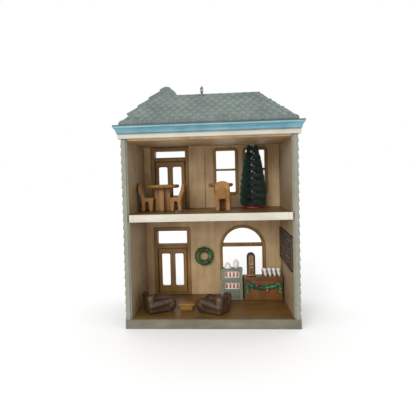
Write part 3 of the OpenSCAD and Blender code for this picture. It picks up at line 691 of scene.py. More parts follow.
def span(node: str) -> tuple[Points, Points]:
    """Lowest and highest corner of a CAD node, in millimetres."""
    low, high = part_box(node)
    return np.array(low) / MM, np.array(high) / MM


CASING_W = 1.9
CASING_H = 0.7
CASING = ((0.0, 0.0), (0.0, 0.45), (0.25, 0.6), (0.55, 0.5), (0.8, 0.62), (1.35, CASING_H), (1.7, 0.62),
          (CASING_W, 0.35), (CASING_W, 0.0))


def casing_profile(width: float) -> list[tuple[float, float]]:
    """The house's casing profile, brought to a width."""
    return [(out / CASING_W * width, up) for out, up in CASING]


@dataclass
class Workshop:
    """What every sub-assembly needs: the paints, and a way to hand over a finished piece."""

    paints: Paints
    made: int = 0

    def hand_over(self, shell: Shell, name: str, paints: Sequence[str], slot: str, body: str = "house",
                  replaces: Sequence[str] = (), **how: float) -> bpy.types.Object:
        """Builds a piece, seats it on its body and hides the CAD nodes it stands for.

        Args:
            shell: its surfaces.
            name: the piece's name.
            paints: names of its finishes, in the order of their numbers.
            slot: name of the piece's material slot; not used.
            body: the body it rides on.
            replaces: CAD nodes it stands for.
            how: settings for Shell.build.

        Returns:
            The finished piece.
        """
        piece = shell.build(name, [self.paints[paint] for paint in paints], **how)
        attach(piece, body)
        if replaces:
            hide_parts(*replaces)
        self.made += 1
        log.info("piece %s on %s: %d points", name, body, len(piece.data.vertices))
        return piece

    def paint_node(self, nodes: Sequence[str], paint: str) -> None:
        """Dresses CAD nodes in one finish.

        Args:
            nodes: the nodes' names.
            paint: the finish's name.
        """
        for node in nodes:
            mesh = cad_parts[node].data
            mesh.materials.clear()
            mesh.materials.append(self.paints[paint])
            log.info("node %s in %s", node, paint)


def plan_band(levels: Sequence[Sequence[float]], paint: int = 0) -> Shell:
    """Band round the house's plan, which is grown by its own distance at each level, so corners are mitred.

    Args:
        levels: rows of height, growth at the sides and the street side, and growth at the open front.
        paint: number of the material.

    Returns:
        The shell.
    """
    z, side, front = (np.array(column)[:, None] for column in zip(*levels))
    left, right, near = -HALF_W - side, HALF_W + side, FRONT_Y - front
    x = np.hstack([left, right, right, BAY_RIGHT_X + side, BAY_RIGHT_X + side, left])
    y = np.hstack([near, near, STREET_Y + side, STREET_Y + side, BAY_Y + side, BAY_Y + side])
    return skin(np.stack([x, y, np.repeat(z, 6, 1)], -1), paint=paint)


def ring_plate(inner: Points, outer: Points, y0: float, y1: float, edge: float = 0.2) -> Shell:
    """Plate between two matched outlines: a four-sided section whose corners are drawn in by edge.

    Args:
        inner: outline of the hole, in X and Z.
        outer: outline of the rim, with as many points.
        y0: nearer face.
        y1: farther face.
        edge: width of the soft corners.

    Returns:
        The shell.
    """
    run = np.linalg.norm(outer - inner, axis=1, keepdims=True)
    soft = (outer - inner) / np.maximum(run, 1e-6) * edge
    corners = ((inner + soft, y0), (outer - soft, y0), (outer, y0 + edge), (outer, y1 - edge),
               (outer - soft, y1), (inner + soft, y1), (inner, y1 - edge), (inner, y0 + edge))
    grid = np.array([np.stack([line[:, 0], np.full(len(line), y), line[:, 1]], 1) for line, y in corners])
    return skin(np.swapaxes(grid, 0, 1), True)


def scatter(shape: Shell, spots: Points, ahead: Points, size: Points) -> Shell:
    """Copies of a small closed shape, its +X turned along each direction.

    Args:
        shape: the shape, about the origin.
        spots: one origin for each copy.
        ahead: one direction for each copy.
        size: one scale for each copy.

    Returns:
        The shell.
    """
    ahead = ahead / np.linalg.norm(ahead, axis=1, keepdims=True)
    # UP is tipped a little, so that a copy that points straight up still has a side.
    side = np.cross(ahead, UP + 0.01)
    side /= np.linalg.norm(side, axis=1, keepdims=True)
    frames = np.stack([ahead, side, np.cross(ahead, side)], 1) * size.reshape(-1, 1, 1)
    base = np.concatenate(shape.points)
    points = np.einsum("pk,nkj->npj", base, frames) + spots[:, None]
    faces = np.array(shape.faces, dtype=int)
    steps = np.arange(len(spots))[:, None, None] * len(base)
    return Shell().add(points.reshape(-1, 3), (faces[None] + steps).reshape(-1, faces.shape[1]))


def leaf_shape(length: float, width: float, thick: float) -> Shell:
    """Small pointed leaf: a stretched octahedron that points along +X and is widest at 0.4 of its length.

    Args:
        length: its length.
        width: its width along Y.
        thick: its thickness along Z.

    Returns:
        The shell.
    """
    widest = length * 0.4
    points = np.array([[0, 0, 0], [length, 0, 0], [widest, width / 2, 0], [widest, -width / 2, 0],
                       [widest, 0, thick / 2], [widest, 0, -thick / 2]])
    ring = (2, 4, 3, 5)
    faces = [(0, ring[i], ring[(i + 1) % 4]) for i in range(4)]
    faces += [(1, ring[(i + 1) % 4], ring[i]) for i in range(4)]
    return Shell().add(points, faces)


# ---------------------------------------------------------------- house
# Planes that the sub-assemblies share. -Y is the open side, and +Y is the street.
HALF_W = 40.0
FRONT_Y = -24.0
STREET_Y = 21.0
BAY_Y = 23.0
BAY_RIGHT_X = -9.6
BACK_Y = 18.0
DOOR_WALL_Y = 16.8
LOWER_Z = 4.4
UPPER_Z = 52.7
CROWN_TOP = 93.15
DOOR_X = -22.7


@dataclass
class Roofs:
    """Hip roof, bay gable, crown moulding, frieze and the wire eye at the top."""

    shop: Workshop
    scale_w: float = 4.0
    course: float = 3.6
    relief: float = 0.95
    grid: float = 0.26
    eave_z: float = CROWN_TOP + 0.75
    eave_x: float = 39.8
    eave_front: float = -27.0
    eave_back: float = 23.45
    ridge_z: float = 110.3
    ridge_x: float = 25.0
    apex: tuple[float, float] = (-21.8, 117.35)
    left_tip: float = -43.2
    foot_x: float = -7.8
    gable_y: tuple[float, float] = (6.0, 25.0)
    gable_t: float = 1.5
    gable_deg: tuple[float, float] = (33.5, 45.0)
    gable_grid: float = 0.28
    eye: Spot = (-3.3, -1.775, 110.8)
    eye_r: float = 1.45
    eye_rise: float = 2.1
    eye_turn_deg: float = 20.0
    wire_r: float = 0.4
    shank_depth: float = 4.2
    twist: float = 2.6

    def scales(self, u: Points, v: Points) -> Points:
        """Height of fish-scale shingles.

        Row k starts at v = k * course and is half a scale off its neighbours. A scale covers the points above
        its pointed butt, which rises as the distance from its middle to the power 1.5. Its height falls
        evenly from the butt to nothing two courses up the slope, and by 0.7 of itself towards its sides.

        Args:
            u: distance along the eave.
            v: distance up the slope.

        Returns:
            Height off the slope.
        """
        row = np.floor(v / self.course)
        height = np.zeros_like(v)
        open_still = np.ones_like(v, bool)
        for back in (0, 1):
            k = row - back
            off = (u / self.scale_w + 0.5 * (k % 2)) % 1.0 - 0.5
            butt = self.course * np.abs(2 * off) ** 1.5
            up = v - k * self.course
            here = open_still & (up >= butt)
            rim = 1 - 0.7 * np.abs(2 * off) ** 2
            height = np.where(here, self.relief * rim * (1 - up / (2 * self.course)), height)
            open_still &= ~here
        return height

    def main_roof(self) -> None:
        """Hip roof as a height field: the lowest of four slopes at each point, with shingles added."""
        x = np.arange(-self.eave_x, self.eave_x + 1e-6, self.grid)
        x[-1] = self.eave_x
        y = np.linspace(self.eave_front, self.eave_back, int((self.eave_back - self.eave_front) / self.grid))
        gx, gy = np.meshgrid(x, y, indexing="ij")
        middle = (self.eave_front + self.eave_back) / 2
        rise = self.ridge_z - self.eave_z
        slopes = ((gy - self.eave_front, gx, rise / (middle - self.eave_front)),
                  (self.eave_back - gy, -gx, rise / (self.eave_back - middle)),
                  (gx + self.eave_x, gy, rise / (self.eave_x - self.ridge_x)),
                  (self.eave_x - gx, -gy, rise / (self.eave_x - self.ridge_x)))
        tops = np.stack([self.eave_z + run * tilt for run, _, tilt in slopes])
        scales = np.stack([self.scales(along, run * math.hypot(1, tilt)) for run, along, tilt in slopes])
        pick = tops.argmin(0)[None]
        height = np.take_along_axis(tops, pick, 0)[0] + np.take_along_axis(scales, pick, 0)[0]
        under_gable = (gx < BAY_RIGHT_X - 0.1) & (gy > self.gable_y[0] + 0.2)
        height = np.where(under_gable, self.eave_z - 0.3, height)
        rows, cols = gx.shape
        index = np.arange(rows * cols).reshape(rows, cols)
        rim = np.concatenate([index[:, 0], index[-1, 1:], index[-2::-1, -1], index[0, -2:0:-1]])
        top = np.stack([gx, gy, height], -1).reshape(-1, 3)
        skirt = top[rim] * (1, 1, 0) + (0, 0, CROWN_TOP)
        low = rows * cols + np.arange(len(rim))
        sides = np.stack([rim, np.roll(rim, -1), np.roll(low, -1), low], 1)
        faces = [tuple(q) for q in net(rows, cols, False, False).tolist() + sides.tolist()]
        faces.append(tuple(low.tolist()))
        shell = Shell().add(np.concatenate([top, skirt]), faces)
        along = np.linspace(-self.ridge_x - 0.6, self.ridge_x + 0.6, 40)
        ridge = np.stack([along, np.full_like(along, middle), np.full_like(along, self.ridge_z - 0.1)], 1)
        shell.join(tube(ridge, 0.75, 12))
        self.shop.hand_over(shell, "shingled_roof", ["shingle_grey_paint"], "shingle_paint",
                            replaces=["main_roof"], smooth_deg=50)

    def gable_roof(self) -> None:
        """Gable slab: a bent section carried along Y, its upper line raised by the shingles of its slope."""
        (ax, az), t = self.apex, self.gable_t
        outer, inner = (math.radians(slope) for slope in self.gable_deg)
        y = np.arange(*self.gable_y, self.gable_grid)
        left_z = az - (ax - self.left_tip) * math.tan(outer)
        foot_z = az - (self.foot_x - ax) * math.tan(inner)
        x = np.concatenate([np.linspace(self.left_tip, ax, 90), np.linspace(ax, self.foot_x, 64)[1:]])
        slopes = np.stack([az - (ax - x) * math.tan(outer), az - (x - ax) * math.tan(inner)])
        soft = slopes.mean(0) - np.hypot(slopes[0] - slopes[1], 1.0) / 2
        on_left = x < ax
        tilt = np.where(on_left, outer, inner)
        run = np.where(on_left, x - self.left_tip, self.foot_x - x) / np.cos(tilt)
        lift = self.scales(y[:, None] + 0 * run[None], run[None] + 0 * y[:, None])
        toward = np.where(on_left, -1, 1) * np.sin(tilt)
        top = np.stack([x + lift * toward, np.repeat(y[:, None], len(x), 1), soft + lift * np.cos(tilt)], -1)
        low = np.array([[self.foot_x - t * math.sin(inner), foot_z - t * math.cos(inner)], [ax, az - t * 1.3],
                        [self.left_tip + t * math.sin(outer), left_z - t * math.cos(outer)]])
        front = np.concatenate([low, [(low[2, 0] + 2.0, CROWN_TOP + 1), (low[0, 0] - 2.0, CROWN_TOP + 1)]])
        under = np.stack([np.repeat(low[None, :, 0], len(y), 0), np.repeat(y[:, None], 3, 1),
                          np.repeat(low[None, :, 1], len(y), 0)], -1)
        shell = skin(np.concatenate([top, under], 1))
        shell.join(slab(front, self.gable_y[0] - 0.1, self.gable_y[0] + 0.4, 0.05))
        self.shop.hand_over(shell, "shingled_gable", ["shingle_grey_paint"], "shingle_paint",
                            replaces=["gable_roof"], smooth_deg=50)

    def crown(self) -> None:
        """Crown moulding: a bead, a hollow cove and a square fillet, mitred round the plan, with a dark top
        lip painted as the shadow under the shingles.
        """
        rise = np.linspace(0, 1, 9)
        flare = 1 - np.cos(rise * math.pi / 2)
        cove = [(90.0 + 1.75 * a, 1.25 + 0.5 * b, 2.2 + 2.0 * b) for a, b in zip(rise, flare)]
        lip = CROWN_TOP - 0.6
        levels = [(89.7, 1.1, 1.9), (89.85, 1.3, 2.3), *cove, (91.8, 1.95, 4.5), (91.95, 2.15, 4.95),
                  (lip, 2.15, 5.0), (lip + 0.02, 1.9, 4.75)]
        # The dark band on the top lip is a painted shadow of the groove under the shingles.
        edge = [(lip - 0.2, 1.9, 4.7), (lip, 2.15, 5.0), (CROWN_TOP, 2.15, 5.0)]
        shell = plan_band(levels).join(plan_band(edge, 1))
        self.shop.hand_over(shell, "cove_crown", ["crown_blue_paint", "crown_lip_shadow_paint"], "crown_paint",
                            replaces=["crown_cornice"], smooth_deg=30)

    def frieze(self) -> None:
        """Frieze board with soft edges."""
        levels = [(87.4, 0.8, 0.8), (87.55, 1.0, 1.0), (89.5, 1.0, 1.0), (89.7, 0.9, 0.9)]
        self.shop.hand_over(plan_band(levels), "frieze_board", ["trim_cream_paint"], "trim_paint",
                            replaces=["frieze"])

    def hanger(self) -> None:
        """Eye bent from one wire: a ring, and a shank of two strands twisted round each other."""
        (x, y, top), r = self.eye, self.eye_r
        turn = np.linspace(0, 2 * math.pi, 40, endpoint=False)
        facing = math.radians(self.eye_turn_deg)
        ring = np.stack([x - r * math.sin(facing) * np.cos(turn), y + r * math.cos(facing) * np.cos(turn),
                         top + self.eye_rise + r * np.sin(turn)], 1)
        shell = tube(ring, self.wire_r, 12, loop=True)
        z = np.linspace(top - self.shank_depth, top + 0.85, 60)
        for strand in (0.0, math.pi):
            a = strand + (z - top) * self.twist
            shell.join(tube(np.stack([x + 0.28 * np.cos(a), y + 0.28 * np.sin(a), z], 1), 0.3, 8))
        self.shop.hand_over(shell, "twisted_wire_eye", ["eye_bright_wire"], "eye_wire", "hanger_eye",
                            ["hanger_eye"])

    def build(self) -> None:
        """Every piece above the walls."""
        self.main_roof()
        self.gable_roof()
        self.crown()
        self.frieze()
        self.hanger()


@dataclass
class Walls:
    """Shell, linings and floors: the CAD solids in their paints, and the jointed cream board."""

    shop: Workshop
    board_end: float = 1.9
    plinth_edge: float = 0.35
    siding_edge: float = 0.15

    def build(self) -> None:
        """Paints the shell, softens its outer edges and adds the fascia."""
        self.shop.paint_node(["base_plinth", "street_step"], "plinth_grey_paint")
        self.shop.paint_node(["left_wall", "right_wall", "bay_wall_lower", "bay_wall_upper",
                              "shop_wall_lower", "shop_wall_upper", "gable_wall"], "siding_grey_paint")
        self.shop.paint_node(["left_lining", "right_lining"], "side_room_tan_paint")
        self.shop.paint_node(["back_lining_lower", "back_lining_upper", "mid_floor", "ceiling_lining"],
                             "room_tan_paint")
        self.shop.paint_node(["ground_floor", "upper_floor"], "floor_brown_paint")
        self.shop.paint_node(["balcony_deck"], "trim_cream_paint")
        self.shop.paint_node(["hanger_bush"], "shingle_grey_paint")
        for node in ("base_plinth", "street_step"):
            soften_edges(node, self.plinth_edge)
        for node in ("left_wall", "right_wall"):
            soften_edges(node, self.siding_edge)
        low, high = span("mid_fascia")
        shell = Shell()
        stops = (low[0], low[0] + self.board_end, high[0] - self.board_end, high[0])
        for x0, x1 in zip(stops, stops[1:]):
            shell.join(block((x0, low[1], low[2]), (x1, high[1], high[2]), 0.16, 2))
        self.shop.hand_over(shell, "jointed_fascia", ["trim_cream_paint"], "trim_paint",
                            replaces=["mid_fascia"])


def soften_edges(node: str, width: float) -> None:
    """Rounds a CAD solid's edges with a bevel of that width."""
    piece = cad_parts[node]
    bevel = piece.modifiers.new("soft edges", "BEVEL")
    bevel.width, bevel.segments, bevel.limit_method = width * MM, 2, "ANGLE"
    bevel.angle_limit = math.radians(40)


@dataclass
class Doorway:
    """One pair of doors with its frame, casing, bar, transom light and street casing."""

    shop: Workshop
    storey: str
    z: float
    width: float
    room_y: float
    jamb_h: float
    transom_h: float
    casing_top: float
    head: float = 25.9
    bar_h: float = 2.2
    sill: float = 1.0
    jamb: float = 1.0
    casing_w: float = 1.9
    leaf_t: float = 1.4
    gap: float = 0.15
    stop: float = 0.5
    meeting: float = 1.35
    hinge: float = 2.1
    bottom_rail: float = 4.8
    top_rail: float = 3.0
    paint: str = "joinery_ochre_paint"

    def frame(self) -> None:
        """Casing mitred round the doorway, with its jambs, stops, head, transom bar and threshold."""
        x0, x1, z, y = DOOR_X - self.width / 2, DOOR_X + self.width / 2, self.z, self.room_y
        transom_z = z + self.head + self.bar_h
        inner_top = transom_z + self.transom_h
        head_w = z + self.casing_top - inner_top
        shell = moulding(door_outline(x0, x1, z, inner_top - self.casing_w + head_w),
                         casing_profile(self.casing_w), y, -1, False)
        for x in (x0 - self.jamb, x1):
            shell.join(block((x, y - 0.02, z), (x + self.jamb, BAY_Y, z + self.jamb_h), 0.12, 2))
        stop_y = y + self.leaf_t - 0.1 + self.gap
        for a, b in ((x0 - 0.2, x0 + self.stop), (x1 - self.stop, x1 + 0.2)):
            shell.join(block((a, stop_y, z + self.sill - 0.2), (b, BAY_Y - 0.1, z + self.head + 0.2), 0.1, 2))
        shell.join(block((x0, stop_y, z + self.head - self.stop), (x1, BAY_Y - 0.1, z + self.head + 0.2),
                         0.1, 2))
        shell.join(block((x0 - 0.2, y - 0.4, inner_top), (x1 + 0.2, BAY_Y, z + self.jamb_h), 0.12, 2))
        shell.join(block((x0 - 0.1, y - 0.55, z + self.head), (x1 + 0.1, BAY_Y, transom_z), 0.3))
        shell.join(block((x0 - 0.1, y - 0.68, transom_z - 0.75), (x1 + 0.1, y, transom_z - 0.1), 0.2))
        shell.join(block((x0 - 0.1, y - 0.6, z), (x1 + 0.1, BAY_Y, z + self.sill), 0.2))
        self.shop.hand_over(shell, self.storey + "_doorway_casing", [self.paint], "joinery_paint",
                            replaces=[self.storey + "_door_frame"])

    def leaf(self, side: int, word: str) -> None:
        """One leaf: a plate round its light with a bead, a round hinge edge and a pin out at both ends.

        Args:
            side: -1 for the left leaf, 1 for the right.
            word: left or right.
        """
        r = self.leaf_t / 2
        axis_x = DOOR_X + side * (self.width / 2 - self.gap - r)
        axis_y = self.room_y + r - 0.1
        meet_x = DOOR_X + side * self.gap / 2
        low, high = self.z + self.sill + self.gap, self.z + self.head - self.gap
        lite_w = self.width / 2 - 1.5 * self.gap - self.meeting - self.hinge
        near = meet_x + side * self.meeting
        x0, x1 = sorted((near, near + side * lite_w))
        z0, z1 = self.z + self.bottom_rail, self.z + self.head - self.top_rail
        edges = sorted((axis_x, meet_x))
        inner = round_outline(x0, x1, z0, z1, 0.8)
        rim = round_outline(edges[0], edges[1], low, high, 0.12)
        shell = ring_plate(inner(0.0), rim(0.0), axis_y - r, axis_y + r, 0.12)
        bead = [(0.0, 0.0), (0.0, 0.12), (0.12, 0.22), (0.32, 0.2), (0.45, 0.0)]
        for face, toward in ((axis_y - r + 0.02, -1), (axis_y + r - 0.02, 1)):
            shell.join(moulding(inner, bead, face, toward, True))
        stile = [(0, low), (r - 0.1, low), (r, low + 0.1), (r, high - 0.1), (r - 0.1, high), (0, high)]
        shell.join(lathe(stile, (axis_x, axis_y, 0), 20))
        pin = [(0, low - 1), (0.4, low - 1), (0.4, high + 1), (0, high + 1)]
        shell.join(lathe(pin, (axis_x, axis_y, 0), 16))
        name = f"{self.storey}_{word}_door"
        self.shop.hand_over(shell, name + "_leaf", [self.paint], "joinery_paint", name, [name])

    def street_casing(self) -> Shell:
        """Casing on the street side."""
        x0, x1 = DOOR_X - self.width / 2, DOOR_X + self.width / 2
        top = self.z + self.jamb_h - self.jamb
        return moulding(door_outline(x0, x1, self.z, top - self.casing_w + self.jamb),
                        casing_profile(self.casing_w), BAY_Y, 1, False)

    def build(self) -> None:
        """The frame and both leaves."""
        self.frame()
        self.leaf(-1, "left")
        self.leaf(1, "right")


@dataclass
class Windows:
    """Two upper sash windows and the arched shop window."""

    shop: Workshop
    sash_x: tuple[float, float] = (8.0, 24.1)
    sash_w: float = 10.4
    sash_z: tuple[float, float] = (61.0, 83.8)
    sash_casing: float = 1.6
    rail_h: float = 1.1
    arch_x: float = 16.3
    arch_r: float = 10.9
    arch_z: tuple[float, float] = (14.4, 30.2)
    arch_casing: float = 1.65
    paint: str = "joinery_ochre_paint"

    def liner(self, outline: Outline, thick: float, y0: float, y1: float) -> Shell:
        """Plain lining of an opening, from its edge out to thick and from y0 to y1."""
        return moulding(outline, [(0, 0), (thick, 0), (thick, y1 - y0), (0, y1 - y0)], y0, 1, True)

    def sash(self, x: float, word: str) -> Shell:
        """Hands over one sash window: casing, lining and meeting rail.

        Args:
            x: its middle.
            word: left or right.

        Returns:
            Its casing on the street side.
        """
        x0, x1 = x - self.sash_w / 2, x + self.sash_w / 2
        z0, z1 = self.sash_z
        outline = round_outline(x0, x1, z0, z1, 0.5)
        shell = moulding(outline, casing_profile(self.sash_casing), BACK_Y, -1, True)
        shell.join(self.liner(outline, 0.95, BACK_Y - 0.02, STREET_Y))
        rail_z = (z0 + z1) / 2 - self.rail_h / 2 + 0.9
        shell.join(block((x0 - 0.3, BACK_Y - 0.05, rail_z), (x1 + 0.3, STREET_Y - 0.7, rail_z + self.rail_h),
                         0.25))
        self.shop.hand_over(shell, word + "_sash_casing", [self.paint], "joinery_paint",
                            replaces=[word + "_sash_window"])
        return moulding(box_outline(x0, x1, z0, z1), casing_profile(self.sash_casing), STREET_Y, 1, True)

    def arch(self) -> Shell:
        """Hands over the arched window: casing, lining and bar.

        Returns:
            Its casing on the street side.
        """
        outline = arch_outline(self.arch_x, self.arch_r, *self.arch_z)
        shell = moulding(outline, casing_profile(self.arch_casing), BACK_Y, -1, True)
        shell.join(self.liner(outline, 0.95, BACK_Y - 0.02, STREET_Y))
        bar_z = self.arch_z[1] + 0.55
        reach = self.arch_r + 0.3
        shell.join(block((self.arch_x - reach, BACK_Y - 0.25, bar_z),
                         (self.arch_x + reach, STREET_Y - 0.7, bar_z + 2.0), 0.3))
        shell.join(block((self.arch_x - reach, BACK_Y - 0.5, bar_z + 0.7),
                         (self.arch_x + reach, BACK_Y + 0.4, bar_z + 1.3), 0.25))
        self.shop.hand_over(shell, "arched_window_casing", [self.paint], "joinery_paint",
                            replaces=["arch_window_frame"])
        return moulding(outline, casing_profile(self.arch_casing), STREET_Y, 1, True)

    def build(self) -> None:
        """All three windows and their street casings."""
        outside = Shell()
        for x, word in zip(self.sash_x, ("left", "right")):
            outside.join(self.sash(x, word))
        self.shop.hand_over(outside, "sash_street_casings", ["trim_cream_paint"], "trim_paint",
                            replaces=["sash_outer_casings"])
        self.shop.hand_over(self.arch(), "arch_street_casing", ["trim_cream_paint"], "trim_paint",
                            replaces=["arch_outer_casing"])


# ---------------------------------------------------------------- furniture
def capsule(start: Sequence[float], end: Sequence[float], radius: float, sag: float = 0.0) -> Shell:
    """Padded roll: a tube with round ends, sagging in the middle.

    The sag falls off as the square of the distance from the middle, and the radius as a quarter circle past
    each end.

    Args:
        start: one end of its middle line.
        end: the other end.
        radius: its radius.
        sag: how far the middle hangs.

    Returns:
        The shell.
    """
    t = np.linspace(0, 1, 24)
    a = -np.cos(t * math.pi)
    reach = np.linalg.norm(np.subtract(end, start)) / 2
    along = np.clip(a * (reach + radius) / reach, -1.12, 1.12)
    path = np.add(start, end) / 2 + np.outer(a * (reach + radius * 0.95) / reach, np.subtract(end, start) / 2)
    path[:, 2] -= sag * (1 - along ** 2)
    over = np.maximum(np.abs(a) * (reach + radius) - reach, 0)
    return tube(path, np.sqrt(np.maximum(radius ** 2 - over ** 2, 0.01)), 16)


@dataclass
class Armchair:
    """Club armchair cast in one piece, with its back at x = 0 and its seat towards +X."""

    length: float = 14.6
    width: float = 11.4
    height: float = 9.4

    def shell(self) -> Shell:
        """Base, seat cushion, dipped back and arms that rise to the front, ready to be fused."""
        half = self.width / 2
        shape = block((0.7, -half + 1.2, 0), (self.length - 1.6, half - 1.2, 3.2), 0.7)
        shape.join(block((2.6, -half + 2.3, 1.8), (self.length - 1.0, half - 2.3, 4.9), 1.3))
        for side in (-1, 1):
            y = side * (half - 2.0)
            shape.join(block((0.6, y - 1.5, 0), (self.length - 1.2, y + 1.5, 4.0), 1.0))
            shape.join(ball((self.length - 2.6, y, 3.5), (2.6, 2.2, 3.5), 24))
            shape.join(capsule((2.0, y, 3.8), (self.length - 3.0, y, 5.0), 2.1, 0.1))
            shape.join(capsule((1.9, y * 0.95, 3.6), (1.5, y * 1.02, self.height - 2.0), 1.9))
        shape.join(block((0.3, -half + 1.0, 0), (3.2, half - 1.0, self.height - 2.4), 1.2))
        crest = self.height - 2.0
        shape.join(capsule((1.8, -half + 2.6, crest), (1.8, half - 2.6, crest), 1.8, 0.9))
        return shape


@dataclass
class Chair:
    """Dining chair cast in one piece, with its back at x = 0 and its seat towards +X."""

    width: float = 7.3
    depth: float = 8.3
    height: float = 14.6
    seat: float = 6.9
    side: float = 2.1

    def shell(self) -> Shell:
        """Two side frames, seat and round-topped back, ready to be fused."""
        half = self.width / 2
        frame_line = [(2.2, 0), (3.9, 0), (4.2, 4.4), (4.9, 5.1), (5.6, 4.8), (6.2, 0), (7.8, 0),
                      (self.depth, self.seat - 0.6), (self.depth - 0.2, self.seat), (4.2, self.seat + 0.1),
                      (3.3, 8.6), (1.9, 12.4), (0.6, 12.6), (0.7, 10.4), (1.9, 7.0), (2.4, 4.2)]
        shape = Shell()
        for y0 in (-half, half - self.side):
            shape.join(slab(np.array(frame_line[::-1]), y0, y0 + self.side, 0.25))
        shape.join(block((3.0, -half + 0.1, self.seat - 1.2), (self.depth, half - 0.1, self.seat + 0.1), 0.4))
        turn = np.linspace(0, math.pi, 17)
        foot = 5.6
        crest = np.stack([(half - 0.05) * np.cos(turn), self.height - 2.4 + 2.35 * np.sin(turn)], 1)
        outline = np.concatenate([crest, [(-half + 0.05, foot), (half - 0.05, foot)]])

        def lean(points: Points) -> Points:
            """Turns the upright board to face +X and leans it back as it rises."""
            back = 2.3 - 2.2 * (points[:, 2] - foot) / (self.height - foot)
            return np.stack([back + points[:, 1], points[:, 0], points[:, 2]], 1)

        return shape.join(slab(outline, 0.0, 1.5, 0.3), lean)


@dataclass
class Table:
    """Round table: a turned top on a foot of two crossed boards."""

    radius: float
    foot: float
    height: float = 13.4
    board_half: float = 1.3

    def shell(self) -> Shell:
        """Top with a rolled rim, and the crossed foot."""
        r, h = self.radius, self.height
        rim = [(0, h - 1.8), (r - 0.9, h - 1.8), (r - 0.2, h - 1.5), (r, h - 1.0), (r, h - 0.6),
               (r - 0.25, h - 0.1), (r - 0.7, h), (0, h)]
        shape = lathe(rim, (0, 0, 0), 48)
        half, thin = self.foot / 2, self.board_half
        for a, b in (((-half, -thin), (half, thin)), ((-thin, -half), (thin, half))):
            shape.join(block((*a, 0), (*b, h - 1.3), 0.35))
        return shape


